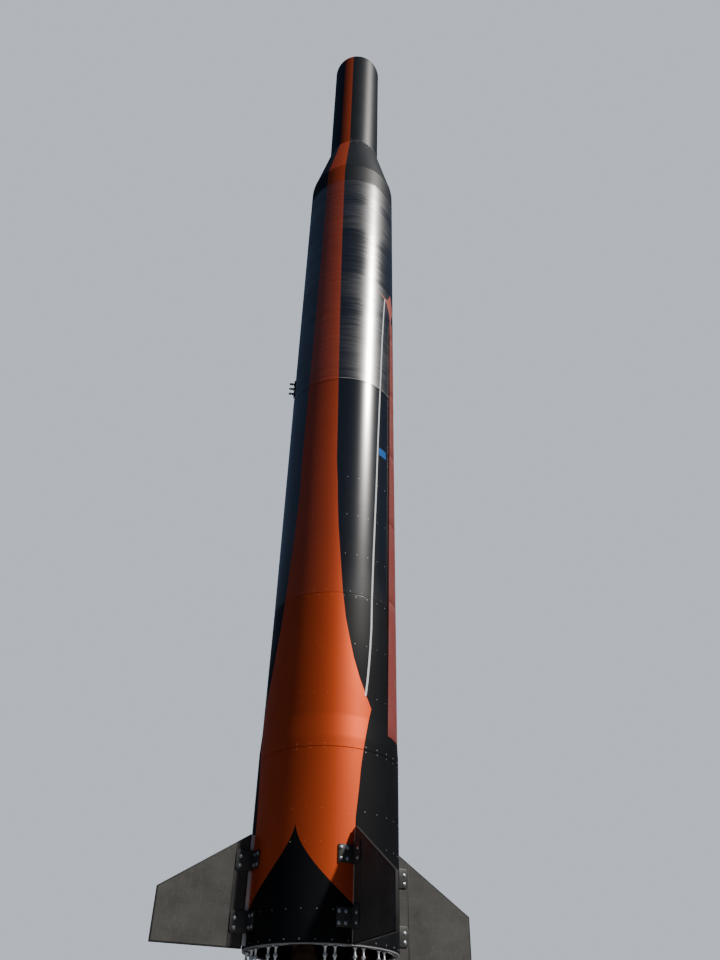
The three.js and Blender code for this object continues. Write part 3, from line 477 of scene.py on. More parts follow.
def drum(radius, bottom, top, steps=24, edge=0.0, top_radius=None):
    """A round or many-sided bar along Z."""
    bm = bmesh.new()
    bmesh.ops.create_cone(
        bm, cap_ends=True, cap_tris=False, segments=steps, radius1=radius,
        radius2=radius if top_radius is None else top_radius, depth=top - bottom)
    bmesh.ops.translate(bm, vec=(0, 0, (bottom + top) / 2), verts=bm.verts)
    if edge:
        rims = [e for e in bm.edges if abs(e.verts[0].co.z - e.verts[1].co.z) < 1e-6]
        round_edges(bm, rims, edge)
    return bm


def plate(outline, thickness, edge):
    """A plate whose outline lies in the X-Z plane, centred on Y = 0, with rounded edges."""
    bm = bmesh.new()
    face = bm.faces.new([bm.verts.new((x, -thickness / 2, z)) for x, z in outline])
    grown = bmesh.ops.extrude_face_region(bm, geom=[face])["geom"]
    far_side = [v for v in grown if isinstance(v, bmesh.types.BMVert)]
    bmesh.ops.translate(bm, vec=(0, thickness, 0), verts=far_side)
    bmesh.ops.recalc_face_normals(bm, faces=bm.faces)
    round_edges(bm, sharp_edges(bm), edge)
    return bm


def half_circle(radius, start, steps=16):
    """Points on half a circle, from a direction given in half turns."""
    turns = [math.pi * (start + i / steps) for i in range(steps + 1)]
    return [(radius * math.cos(turn), radius * math.sin(turn)) for turn in turns]


def strap_outline(radius, height):
    """A strap with a round end about (0, 0) that runs up to a height."""
    return [*half_circle(radius, 1, 14), (radius, height), (-radius, height)]


def hex_bolt(radius, height, washer):
    """A hexagon head on a washer, standing up from Z = 0."""
    bm = drum(washer, 0, height * 0.22, 20, height * 0.06)
    add(bm, drum(radius, height * 0.2, height, 6, height * 0.14))
    add(bm, drum(radius * 0.52, height * 0.9, height * 1.18, 12, height * 0.05))
    return bm


def mesh_of(name, bm):
    """A mesh of a shape; the shape itself is used up."""
    mesh = bpy.data.meshes.new(name)
    bm.to_mesh(mesh)
    bm.free()
    return mesh


def add(target, shape, place=None):
    """Joins a shape to a target at a place; the shape itself is used up."""
    if place is not None:
        move(shape, place)
    carrier = mesh_of("carrier", shape)
    target.from_mesh(carrier)
    bpy.data.meshes.remove(carrier)


def repeat(target, shape, places):
    """Joins a copy of a shape to a target at each place; the shape itself is used up."""
    carrier = mesh_of("carrier", shape)
    for place in places:
        carrier.transform(place)
        target.from_mesh(carrier)
        carrier.transform(place.inverted())
    bpy.data.meshes.remove(carrier)


def smooth_run(points, steps=8):
    """Points on a smooth line through the given (radius, height) points."""
    ends = [points[0], *points, points[-1]]
    run = []
    for a, b, c, d in zip(ends, ends[1:], ends[2:], ends[3:]):
        for i in range(steps):
            t = i / steps
            run.append(tuple(
                0.5 * (2 * b[k] + (c[k] - a[k]) * t + (2 * a[k] - 5 * b[k] + 4 * c[k] - d[k]) * t ** 2
                       + (3 * b[k] - a[k] - 3 * c[k] + d[k]) * t ** 3) for k in (0, 1)))
    return [*run, tuple(points[-1])]


def shift(x, y, z):
    """A place moved along the axes."""
    return Matrix.Translation((x, y, z))


def rotation(degrees, axis):
    """A place turned about an axis."""
    return Matrix.Rotation(math.radians(degrees), 4, axis)


def station(azimuth):
    """A frame whose +X points outwards at an azimuth and whose +Y runs round the body."""
    return rotation(azimuth - 90, "Z")


# A frame whose +Z points along X and whose +Y points up
OUTWARD_AXES = Matrix(((0, 0, 1, 0), (1, 0, 0, 0), (0, 1, 0, 0), (0, 0, 0, 1)))
# Turns what stands along Z to lie along X, a plate in the X-Z plane to lie in the Y-Z plane, and a shape over
ALONG_X = Matrix.Rotation(math.pi / 2, 4, "Y")
IN_YZ = Matrix.Rotation(math.pi / 2, 4, "Z")
UPSIDE_DOWN = Matrix.Rotation(math.pi, 4, "X")


def outward(azimuth, radius, height):
    """A place on the hull whose +Z points outwards and whose +Y points up."""
    return station(azimuth) @ shift(radius, 0, height) @ OUTWARD_AXES


def bolt_circle(count, radius, height):
    """Places round a circle about Z."""
    return [Matrix.Rotation(math.tau * i / count, 4, "Z") @ shift(radius, 0, height) for i in range(count)]


def placed(name, data):
    """A new object in the scene."""
    made = bpy.data.objects.new(name, data)
    bpy.context.scene.collection.objects.link(made)
    return made


def shown(name, bm, material, body=None, replaces=(), smooth_below=35, second=None):
    """Makes a piece from a shape, with its finishes, its body and the nodes it stands for."""
    mesh = mesh_of(name, bm)
    mesh.materials.append(material)
    if second:
        mesh.materials.append(second)
    mesh.polygons.foreach_set("use_smooth", [True] * len(mesh.polygons))
    mesh.set_sharp_from_angle(angle=math.radians(smooth_below))
    piece = placed(name, mesh)
    if body:
        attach(piece, body)
    if replaces:
        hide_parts(*replaces)
    return piece


# Material nodes

def put(tree, kind, inputs=None, **settings):
    """Adds a node, with settings and with values or links on its inputs."""
    made = tree.nodes.new(kind)
    for key, value in settings.items():
        setattr(made, key, value)
    for key, value in (inputs or {}).items():
        if isinstance(value, bpy.types.NodeSocket):
            tree.links.new(value, made.inputs[key])
        else:
            made.inputs[key].default_value = value
    return made


def feed(tree, target, sockets):
    """Links results to a node's named inputs."""
    for title, value in sockets.items():
        tree.links.new(value, target.inputs[title])


def reckon(tree, operation, *values, clamp=False):
    """A Math node's result."""
    made = put(tree, "ShaderNodeMath", dict(enumerate(values)), operation=operation, use_clamp=clamp)
    return made.outputs[0]


def times(tree, first, second, clamp=False):
    """The product of two values."""
    return reckon(tree, "MULTIPLY", first, second, clamp=clamp)


def plus(tree, first, second):
    """The sum of two values."""
    return reckon(tree, "ADD", first, second)


def less(tree, first, second):
    """The difference of two values."""
    return reckon(tree, "SUBTRACT", first, second)


def blend_colour(tree, share, first, second):
    """A mix of two colours."""
    return put(tree, "ShaderNodeMix", {0: share, 6: first, 7: second}, data_type="RGBA").outputs[2]


def blend_value(tree, share, first, second):
    """A mix of two values."""
    return put(tree, "ShaderNodeMix", {0: share, 2: first, 3: second}, data_type="FLOAT").outputs[0]


def rescale(tree, value, low, high, to_low=0.0, to_high=1.0, smooth=False):
    """A value moved from one range to another."""
    return put(tree, "ShaderNodeMapRange", {0: value, 1: low, 2: high, 3: to_low, 4: to_high},
               interpolation_type="SMOOTHSTEP" if smooth else "LINEAR").outputs[0]


def opaque(colour, factor=1.0, lift=0.0):
    """A colour with full alpha, made darker or lighter."""
    return tuple(factor * channel + lift for channel in colour) + (1,)


def object_place(tree):
    """The place in the frame's own axes."""
    return put(tree, "ShaderNodeTexCoord").outputs["Object"]


def noise(tree, where, scale, detail, roughness=0.5):
    """Noise at a place."""
    return put(tree, "ShaderNodeTexNoise", {
        "Vector": where, "Scale": scale, "Detail": detail, "Roughness": roughness}).outputs["Fac"]


def stretched_noise(tree, scale, stretch=(1, 1, 1), detail=3.0, roughness=0.55, offset=(0, 0, 0)):
    """Noise on Object coordinates, stretched along the axes."""
    placed = put(tree, "ShaderNodeMapping", {
        "Vector": object_place(tree), "Location": offset, "Scale": stretch}).outputs[0]
    return noise(tree, placed, scale, detail, roughness)


def curve_of(tree, value, points, low, high, out_low, out_high):
    """A value read from a table of points, by straight lines between them."""
    made = put(tree, "ShaderNodeFloatCurve", {"Value": rescale(tree, value, low, high)})
    line = made.mapping.curves[0]
    placed = [((x - low) / (high - low), (y - out_low) / (out_high - out_low)) for x, y in points]
    while len(line.points) < len(placed):
        line.points.new(0.5, 0.5)
    for point, (x, y) in zip(line.points, placed):
        point.location = (min(max(x, 0), 1), min(max(y, 0), 1))
        point.handle_type = "VECTOR"
    made.mapping.update()
    return rescale(tree, made.outputs[0], 0, 1, out_low, out_high)


def add_bump(tree, shader, height, strength, distance):
    """Gives the shader a bumpy normal."""
    bump = put(tree, "ShaderNodeBump", {"Height": height, "Strength": strength, "Distance": distance})
    feed(tree, shader, {"Normal": bump.outputs[0]})


def new_group(name, inputs, outputs):
    """A shader node group with named float inputs and outputs, its given values and its end node."""
    tree = bpy.data.node_groups.new(name, "ShaderNodeTree")
    for title, value in inputs:
        tree.interface.new_socket(title, in_out="INPUT", socket_type="NodeSocketFloat").default_value = value
    for title in outputs:
        tree.interface.new_socket(title, in_out="OUTPUT", socket_type="NodeSocketFloat")
    return tree, tree.nodes.new("NodeGroupInput").outputs, tree.nodes.new("NodeGroupOutput")


def fold(tree, azimuth):
    """An azimuth folded onto one quarter, in degrees from the nearest stripe's middle."""
    return less(tree, 90.0, reckon(tree, "ABSOLUTE", less(tree, reckon(tree, "ABSOLUTE", azimuth), 90.0)))


def height_and_azimuth(tree):
    """The height in metres and the azimuth in degrees."""
    x, y, z = put(tree, "ShaderNodeSeparateXYZ", {0: object_place(tree)}).outputs
    return z, times(tree, reckon(tree, "ARCTAN2", x, times(tree, y, -1.0)), math.degrees(1))


def on_outside(tree):
    """1 everywhere but on the inside of the skirt."""
    x, y, z = put(tree, "ShaderNodeSeparateXYZ", {0: object_place(tree)}).outputs
    reach = reckon(tree, "SQRT", plus(tree, times(tree, x, x), times(tree, y, y)))
    return reckon(tree, "MAXIMUM", reckon(tree, "GREATER_THAN", z, SKIRT_TOP),
                  reckon(tree, "GREATER_THAN", reach, (SKIRT_BORE + SKIRT_RADIUS) / 2))


def between(tree, value, low, high):
    """1 where a value lies between two others."""
    return times(tree, reckon(tree, "GREATER_THAN", value, low), reckon(tree, "LESS_THAN", value, high))


def livery_group():
    """Masks of the painted stripes, lines, forks and tape."""
    tree, given, made = new_group("Livery", [("Line Half Width", 0.010)], ["Stripe", "Line", "Fork", "Tape"])
    z, azimuth = height_and_azimuth(tree)
    folded = fold(tree, azimuth)
    low = curve_of(tree, z, STRIPE_LOW, STRIPE_LOW[0][0], STRIPE_NECK, 0, 90)
    high = curve_of(tree, z, STRIPE_HIGH, STRIPE_NECK, HULL_TOP, 0, 90)
    half = blend_value(tree, reckon(tree, "GREATER_THAN", z, STRIPE_NECK), low, high)
    middle = curve_of(tree, z, STRIPE_MIDDLE, 0, HULL_TOP, -2, 2)
    from_middle = fold(tree, less(tree, azimuth, middle))
    fall = reckon(tree, "POWER", reckon(tree, "DIVIDE", from_middle, 45.0), SPADE_BOW)
    above_spade = reckon(tree, "GREATER_THAN", z, less(tree, SPADE_TOP, times(tree, fall, SPADE_FALL)))
    within = reckon(tree, "LESS_THAN", from_middle, half)
    stripe = times(tree, times(tree, within, above_spade), on_outside(tree))
    path = curve_of(tree, z, LINE_PATH, LINE_PATH[0][0], LINE_PATH[-1][0], 45, 80)
    aside = reckon(tree, "ABSOLUTE", less(tree, folded, path))
    away = times(tree, aside, math.radians(1) * BODY_RADIUS)
    near = reckon(tree, "LESS_THAN", away, given["Line Half Width"])
    line = times(tree, near, between(tree, z, *LINE_ENDS))
    from_cover = less(tree, 90.0, folded)
    fork = between(tree, z, curve_of(tree, from_cover, FORK_LOWER, 0, 30, 6.0, 6.8),
                   curve_of(tree, from_cover, FORK_UPPER, 0, 30, 6.0, 6.8))
    tape = times(tree, between(tree, azimuth, *TAPE_AZIMUTHS), between(tree, z, *TAPE_HEIGHTS))
    feed(tree, made, {"Stripe": stripe, "Line": line, "Fork": fork, "Tape": tape})


def winding_group():
    """Ripple of wound composite, all of it on the wound tank: its height, its glow and its fine streaks."""
    tree, given, made = new_group(
        "Winding", [("Bottom", 5.045), ("Top", UPPER_TANK_TOP), ("Faint", 0.03), ("Grain", 0.25)],
        ["Height", "Glow", "Streak", "Region"])
    z, _ = height_and_azimuth(tree)
    region = between(tree, z, given["Bottom"], given["Top"])
    strength = blend_value(tree, region, given["Faint"], 1.0)
    broad = stretched_noise(tree, 1.0, (1.6, 1.6, 9.0), 2.0, 0.5)
    streak = stretched_noise(tree, 1.0, (2.6, 2.6, 34.0), 4.0, 0.62, (3, 5, 1))
    grain = stretched_noise(tree, 1.0, (24.0, 24.0, 150.0), 2.0, 0.5, (8, 1, 4))
    wave = plus(tree, times(tree, broad, 0.55), times(tree, streak, 0.45))
    rough = times(tree, times(tree, grain, given["Grain"]), 0.25)
    height = plus(tree, times(tree, wave, strength), rough)
    glow = curve_of(tree, z, GLOW, GLOW[0][0], GLOW[-1][0], 0, 1)
    feed(tree, made, {"Height": height, "Glow": glow, "Streak": streak, "Region": region})


def grime_group():
    """Soft patches of dust with runs down the surface."""
    tree, given, made = new_group("Grime", [("Size", 3.0), ("Amount", 0.5)], ["Mask", "Speckle"])
    where = object_place(tree)
    runs_at = put(tree, "ShaderNodeMapping", {"Vector": where, "Scale": (9, 9, 0.8)}).outputs[0]
    patch = rescale(tree, noise(tree, where, given["Size"], 6.0, 0.6), 0.42, 0.68, smooth=True)
    runs = rescale(tree, noise(tree, runs_at, 1.0, 4.0), 0.3, 0.75)
    mask = times(tree, times(tree, patch, runs), given["Amount"], clamp=True)
    speckle = rescale(tree, noise(tree, where, 220.0, 1.0), 0.5, 0.75)
    feed(tree, made, {"Mask": mask, "Speckle": speckle})


def scuff_group():
    """Fine scuffs and scratches in all directions."""
    tree, given, made = new_group("Scuffs", [("Size", 30.0)], ["Mask"])
    where = object_place(tree)
    total = None
    for turn, stretch in ((0.4, (1, 1, 14)), (1.3, (14, 1, 1)), (2.2, (2, 16, 1))):
        placed = put(tree, "ShaderNodeMapping", {
            "Vector": where, "Rotation": (turn, turn / 2, turn), "Scale": stretch}).outputs[0]
        lines = rescale(tree, noise(tree, placed, given["Size"], 3.0), 0.60, 0.74)
        total = lines if total is None else reckon(tree, "MAXIMUM", total, lines)
    feed(tree, made, {"Mask": total})


def use_group(tree, name, **values):
    """Places a node group in a material, with its own values, and gives its results."""
    made = tree.nodes.new("ShaderNodeGroup")
    made.node_tree = bpy.data.node_groups[name]
    for key, value in values.items():
        made.inputs[key.replace("_", " ").title()].default_value = value
    return made.outputs


def new_material(name, **constants):
    """A material with a Principled shader whose constant inputs are set directly."""
    material = bpy.data.materials.new(name)
    material.use_nodes = True
    tree = material.node_tree
    shader = tree.nodes["Principled BSDF"]
    for key, value in constants.items():
        shader.inputs[key.replace("_", " ").title().replace("Ior", "IOR")].default_value = value
    return material, tree, shader


def painted_hull(name, ground, bump, faint, grain, specular, coat_roughness, coat_ior):
    """The hull's composite with its painted stripes; its gloss changes with height."""
    livery = bpy.context.scene.rocket_livery
    material, tree, shader = new_material(
        name, coat_roughness=coat_roughness, coat_ior=coat_ior, specular_ior_level=specular)
    masks = use_group(tree, "Livery", line_half_width=livery.line_half_width)
    winding = use_group(tree, "Winding", faint=faint, grain=grain)
    grime = use_group(tree, "Grime", size=2.2, amount=0.35)["Mask"]
    z, _ = height_and_azimuth(tree)

    ground = getattr(livery, ground)
    colour = blend_colour(tree, grime, opaque(ground), opaque(ground, 0.7, 0.012))
    tone = rescale(tree, stretched_noise(tree, 1.4, (1, 1, 0.6)), 0.35, 0.7)
    stripe = blend_colour(tree, tone, opaque(livery.stripe, 0.88), opaque(livery.stripe))
    for mask, paint in (("Stripe", stripe), ("Fork", opaque(livery.fork)), ("Line", opaque(livery.line)),
                        ("Tape", opaque(livery.tape))):
        colour = blend_colour(tree, masks[mask], colour, paint)

    banded = plus(tree, rescale(tree, winding["Glow"], 0, 1, -0.14, 0.16),
                  rescale(tree, winding["Streak"], 0.35, 0.65, -0.11, 0.12))
    rough = curve_of(tree, z, [(height, roughness) for height, roughness, _ in SHEEN], 0, HULL_TOP, 0, 1)
    rough = plus(tree, rough, times(tree, banded, winding["Region"]))
    rough = plus(tree, rough, times(tree, grime, 0.10))
    rough = blend_value(tree, masks["Stripe"], rough, 0.52)
    rough = blend_value(tree, masks["Line"], rough, 0.5)

    shine = curve_of(tree, z, [(height, coat) for height, _, coat in SHEEN], 0, HULL_TOP, 0, 1)
    lost = times(tree, masks["Stripe"], blend_value(tree, winding["Region"], 0.7, 0.45))
    lost = reckon(tree, "MAXIMUM", lost, times(tree, masks["Line"], 0.9))
    kept = less(tree, 1.0, lost)
    combed = rescale(tree, winding["Height"], 0.38, 0.62, 0.72, 1.08)
    combed = blend_value(tree, winding["Region"], 1.0, combed)
    coat = times(tree, shine, times(tree, kept, combed), clamp=True)
    feed(tree, shader, {"Base Color": colour, "Roughness": rough, "Coat Weight": coat,
                        "Metallic": rescale(tree, masks["Stripe"], 0, 1, 0.0, 0.80)})
    add_bump(tree, shader, winding["Height"], 1.0, bump)
    return material


def worn_paint(name, colour, bare, roughness, metallic, scuffs, grime, size):
    """A painted surface with scuffs to a lighter layer and dust."""
    material, tree, shader = new_material(name, specular_ior_level=0.45)
    scuffed = times(tree, use_group(tree, "Scuffs", size=size)["Mask"], scuffs)
    dust = use_group(tree, "Grime", size=6.0, amount=grime)
    tone = blend_colour(tree, dust["Mask"], opaque(colour), opaque(colour, 0.6, 0.06))
    rough = plus(tree, times(tree, dust["Mask"], 0.2), roughness)
    feed(tree, shader, {
        "Base Color": blend_colour(tree, scuffed, tone, opaque(bare)),
        "Roughness": less(tree, rough, times(tree, scuffed, 0.15)),
        "Metallic": rescale(tree, scuffed, 0, 1, metallic, max(metallic, 0.6))})
    add_bump(tree, shader, plus(tree, dust["Speckle"], scuffed), 0.35, 0.0006)
    return material


def overpainted(name, scale, detail, mottling, dark, light, shade, roughness, metallic):
    """A small fitting's own finish, painted over where the fitting lies on a stripe."""
    livery = bpy.context.scene.rocket_livery
    material, tree, shader = new_material(name, specular_ior_level=0.4)
    stripe = use_group(tree, "Livery", line_half_width=livery.line_half_width)["Stripe"]
    wear = stretched_noise(tree, scale, detail=detail)
    plain = blend_colour(tree, rescale(tree, wear, *mottling), opaque(dark), opaque(light))
    tone = rescale(tree, wear, 0.4, 0.8)
    paint = blend_colour(tree, tone, opaque(livery.stripe, shade), opaque(livery.stripe))
    feed(tree, shader, {
        "Base Color": blend_colour(tree, stripe, plain, paint),
        "Roughness": rescale(tree, wear, 0.3, 0.7, *roughness)})
    if metallic:
        feed(tree, shader, {"Metallic": rescale(tree, stripe, 0, 1, metallic, 0.0)})
    return material


def bare_metal(name, colour, roughness, streak, size):
    """A bare metal with fine drawn or turned lines and light stains."""
    material, tree, shader = new_material(name, metallic=1.0)
    drawn = stretched_noise(tree, size, streak, 3.0, 0.6)
    stain = use_group(tree, "Grime", size=12.0, amount=0.6)["Mask"]
    rough = rescale(tree, drawn, 0.3, 0.7, roughness - 0.08, roughness + 0.1)
    feed(tree, shader, {
        "Base Color": blend_colour(tree, stain, opaque(colour), opaque(colour, 0.55)),
        "Roughness": plus(tree, rough, times(tree, stain, 0.15))})
    add_bump(tree, shader, drawn, 0.25, 0.0005)
    return material


def raw_composite(name, dark, light):
    """Unpainted composite plate: a weave under resin, mottled and scuffed."""
    material, tree, shader = new_material(name, specular_ior_level=0.35)
    mottle = stretched_noise(tree, 5.0, (1, 1, 1.4), 6.0, 0.62)
    cloud = stretched_noise(tree, 1.6, (1, 1, 1), 3.0, 0.5, (4, 4, 4))
    weave = put(tree, "ShaderNodeTexWave", {
        "Vector": object_place(tree), "Scale": 110.0, "Distortion": 1.5, "Detail": 1.0},
        wave_type="BANDS", bands_direction="DIAGONAL").outputs["Fac"]
    scuffed = use_group(tree, "Scuffs", size=16.0)["Mask"]
    share = plus(tree, rescale(tree, mottle, 0.3, 0.7, 0.0, 0.65),
                 rescale(tree, cloud, 0.35, 0.65, 0.0, 0.35))
    tone = blend_colour(tree, share, opaque(dark), opaque(light))
    feed(tree, shader, {
        "Base Color": blend_colour(tree, times(tree, scuffed, 0.35), tone, opaque(light, 1.7)),
        "Roughness": rescale(tree, mottle, 0.3, 0.7, 0.5, 0.68)})
    add_bump(tree, shader, plus(tree, times(tree, weave, 0.5), mottle), 0.3, 0.0008)
    return material


def charred(name, dark, light):
    """A nozzle's heat-darkened composite with rounds of colour."""
    material, tree, shader = new_material(name, specular_ior_level=0.4)
    rounds = stretched_noise(tree, 1.0, (3, 3, 42), 4.0, 0.6)
    patch = stretched_noise(tree, 14.0, (1, 1, 1), 5.0, 0.6, (2, 2, 2))
    share = times(tree, rescale(tree, rounds, 0.3, 0.7), rescale(tree, patch, 0.25, 0.75))
    feed(tree, shader, {
        "Base Color": blend_colour(tree, share, opaque(dark), opaque(light)),
        "Roughness": rescale(tree, patch, 0.3, 0.7, 0.5, 0.75)})
    add_bump(tree, shader, plus(tree, rounds, times(tree, patch, 0.5)), 0.5, 0.001)
    return material


GROUPS = {"Livery": livery_group, "Winding": winding_group, "Grime": grime_group, "Scuffs": scuff_group}
FINISHES = [
    (PAINTED_HULLS, painted_hull), (WORN_PAINTS, worn_paint), (OVERPAINTED, overpainted),
    (BARE_METALS, bare_metal), (RAW_COMPOSITES, raw_composite), (CHARRED, charred),
]


def finish(name):
    """One of the rocket's finishes, made the first time that it is asked for."""
    for title, maker in GROUPS.items():
        if title not in bpy.data.node_groups:
            maker()
    for table, maker in FINISHES:
        if name in table and name not in bpy.data.materials:
            maker(name, *table[name])
    return bpy.data.materials[name]


# Pieces of the rocket

def moved_towards(start, end, distance):
    """A point at a distance from a start, on the way to an end."""
    return tuple(Vector(start) + (Vector(end) - Vector(start)).normalized() * distance)


def near_corner(corner, towards):
    """A point close to a corner of an outline, on one of its two sides."""
    way = Vector(towards) - Vector(corner)
    return tuple(Vector(corner) + way * min(CORNER_DISTANCE / way.length, CORNER_SHARE))


def held_outline(outline, edge):
    """A section's outline with rounded ends, and close points that keep it evenly shaded."""
    (r0, z0), (r1, z1) = outline[0], outline[-1]
    quarter = [share * math.pi / 2 for share in (0.0, 0.5, 1.0)]
    points = [(r0 - edge + edge * math.sin(turn), z0 + SEAM_GAP + edge - edge * math.cos(turn))
              for turn in quarter]
    points.append(moved_towards(outline[0], outline[1], 2 * edge))
    for before, corner, after in zip(outline, outline[1:], outline[2:]):
        points += [near_corner(corner, before), corner, near_corner(corner, after)]
    points.append(moved_towards(outline[-1], outline[-2], 2 * edge))
    points += [(r1 - edge + edge * math.sin(turn), z1 - edge + edge * math.cos(turn))
               for turn in reversed(quarter)]
    return points


class ROCKET_OT_hull(bpy.types.Operator):
    """Adds the smooth skins of the tanks, the cone and everything above them"""
    bl_idname = "rocket.hull"
    bl_label = "Hull"

    def execute(self, context):
        steps, edge = context.scene.rocket_hull.round_steps, context.scene.rocket_hull.edge
        for node, look, outline in STACK:
            run = held_outline(outline, edge)
            skin = turned([(0, run[0][1]), *run, (0, run[-1][1])], steps)
            shown(f"{node}_skin", skin, finish(look), "airframe", [node])
        foot, rim, tip = NOSE_BOTTOM + SEAM_GAP, NOSE_BOTTOM + NOSE_RIM_RISE, NOSE_BOTTOM + NOSE_HEIGHT
        turns = [math.pi / 2 * i / NOSE_STEPS for i in range(NOSE_STEPS)]
        arc = [(UPPER_RADIUS * math.cos(turn), rim + (tip - rim) * math.sin(turn)) for turn in turns]
        cap = [(0, foot), (UPPER_RADIUS - NOSE_RIM_INSET, foot), *arc, (0, tip)]
        shown("nose_cap_skin", turned(cap, steps), finish("upper"), "airframe", ["nose_cap"])
        wall = [(SKIRT_BORE, SKIRT_BOTTOM), (SKIRT_RADIUS - edge, SKIRT_BOTTOM),
                (SKIRT_RADIUS, SKIRT_BOTTOM + edge), (SKIRT_RADIUS, SKIRT_TOP - edge),
                (SKIRT_RADIUS - edge, SKIRT_TOP), (SKIRT_BORE, SKIRT_TOP)]
        shown("aft_skirt_skin", turned(wall, steps, closed=True), finish("low_hull"),
              "airframe", ["aft_skirt"])
        return {"FINISHED"}


class ROCKET_OT_bands(bpy.types.Operator):
    """Adds the raised bands over the hull's joints"""
    bl_idname = "rocket.bands"
    bl_label = "Joint bands"

    def execute(self, context):
        inward, along = BAND_CHAMFER
        for name, look, slot, bands in JOINT_BANDS:
            joined = bmesh.new()
            for bottom, top, radius, proud in bands:
                root, crest = radius - BAND_DEPTH, radius + proud
                outline = [(root, bottom), (crest - inward, bottom), (crest, bottom + along),
                           (crest, top - along), (crest - inward, top), (root, top)]
                add(joined, turned(outline, context.scene.rocket_hull.round_steps, closed=True))
            shown(name, joined, finish(look), "airframe")
        return {"FINISHED"}


def hull_radius(height):
    """The lower hull's radius at a height."""
    if height < SHOULDER[1]:
        share = max((height - SHOULDER[0]) / (SHOULDER[1] - SHOULDER[0]), 0)
        return SKIRT_RADIUS + (SHOULDER_RADIUS - SKIRT_RADIUS) * share
    share = min((height - SHOULDER[1]) / (LOWER_TANK_TOP - SHOULDER[1]), 1)
    return SHOULDER_RADIUS + (BODY_RADIUS - SHOULDER_RADIUS) * share


def under_cover(azimuth, height):
    """Whether a place on the hull lies beneath a cable cover or at a fin's bracket."""
    degrees, room = COVER_ROOM
    if COVER_BOTTOM - room < height < COVER_TOP + room and abs(azimuth % 180 - 90) < degrees:
        return True
    degrees, room = BRACKET_ROOM
    near_bracket = any(abs(height - middle) < room for middle in BRACKET_HEIGHTS.values())
    return near_bracket and abs(azimuth % 90 - 45) < degrees


class ROCKET_OT_screws(bpy.types.Operator):
    """Adds the rings of screw heads on the hull"""
    bl_idname = "rocket.screws"
    bl_label = "Screws"

    def execute(self, context):
        height = context.scene.rocket_hull.screw_height
        for name, rings in SCREW_RINGS.items():
            heads = bmesh.new()
            for level, radius, count, size, first in rings:
                reach = (hull_radius(level) if radius is None else radius) - SCREW_SINK
                azimuths = [first + 360 * i / count for i in range(count)]
                places = [outward(a, reach, level) for a in azimuths if not under_cover(a, level)]
                repeat(heads, drum(size, 0, height, 10, height * 0.35, size * 0.8), places)
            shown(name, heads, finish("hull_screw"), "airframe", smooth_below=50)
        return {"FINISHED"}


def cover_width(height):
    """A cable cover's half width in degrees and how far it stands proud, at a height."""
    for (z0, w0, p0), (z1, w1, p1) in zip(COVER_STATIONS, COVER_STATIONS[1:]):
        if height <= z1:
            share = (height - z0) / (z1 - z0)
            return w0 + (w1 - w0) * share, p0 + (p1 - p0) * share
    return COVER_STATIONS[-1][1:]


def cover_length(low, high):
    """One length of a cable cover, with a gap at each joint but not at the cover's own ends."""
    steps = max(2, round((high - low) / COVER_STEP))
    levels = [low + (high - low) * i / steps for i in range(steps + 1)]
    levels[0] += COVER_GAP if low > COVER_BOTTOM else 0
    levels[-1] -= COVER_GAP if high < COVER_TOP else 0
    # A sheet from -1 to 1 radian, thickened, then drawn to the cover's width and radius at each height
    bm = bmesh.new()
    strip = [bm.verts.new((1, 0, level)) for level in levels]
    edges = [bm.edges.new(pair) for pair in zip(strip, strip[1:])]
    bmesh.ops.rotate(bm, verts=strip, matrix=Matrix.Rotation(-1, 3, "Z"))
    bmesh.ops.spin(
        bm, geom=strip + edges, axis=(0, 0, 1), cent=(0, 0, 0), angle=2, steps=COVER_COLUMNS, use_merge=False)
    bmesh.ops.recalc_face_normals(bm, faces=bm.faces)
    grown = bmesh.ops.extrude_face_region(bm, geom=bm.faces[:])["geom"]
    outside = {v for v in grown if isinstance(v, bmesh.types.BMVert)}
    for vert in bm.verts:
        half, proud = cover_width(vert.co.z)
        turn = math.atan2(vert.co.y, vert.co.x) * math.radians(half)
        radius = BODY_RADIUS + proud if vert in outside else hull_radius(vert.co.z) + COVER_LIFT
        vert.co = (radius * math.cos(turn), radius * math.sin(turn), vert.co.z)
    bmesh.ops.recalc_face_normals(bm, faces=bm.faces)
    round_edges(bm, [edge for edge in sharp_edges(bm, 50) if outside.issuperset(edge.verts)], COVER_EDGE)
    return bm


class ROCKET_OT_covers(bpy.types.Operator):
    """Adds the two cable covers with their joints and screws"""
    bl_idname = "rocket.covers"
    bl_label = "Cable covers"

    def execute(self, context):
        joints = [COVER_BOTTOM, *COVER_JOINTS, COVER_STATIONS[-2][0], COVER_TOP]
        bottom, top, count = COVER_SCREWS["bottom"], COVER_SCREWS["top"], COVER_SCREWS["count"]
        heights = [bottom + (top - bottom) * i / (count - 1) for i in range(count)]
        for side, azimuth in COVER_AZIMUTHS.items():
            shell, screws, places = bmesh.new(), bmesh.new(), []
            for low, high in zip(joints, joints[1:]):
                add(shell, cover_length(low, high))
            for height in heights:
                half, proud = cover_width(height)
                aside = half - math.degrees(COVER_SCREWS["inset"] / BODY_RADIUS)
                places += [outward(90 + way * aside, BODY_RADIUS + proud - SCREW_SINK, height)
                           for way in (-1, 1)]
            repeat(screws, drum(*COVER_SCREW), places)
            for shape in (shell, screws):
                move(shape, station(azimuth))
            shown(f"cable_cover_{side}", shell, finish("cover"), "airframe",
                  [f"raceway_{side}"])
            shown(f"cable_cover_screws_{side}", screws, finish("screw"), "airframe",
                  smooth_below=50)
        return {"FINISHED"}


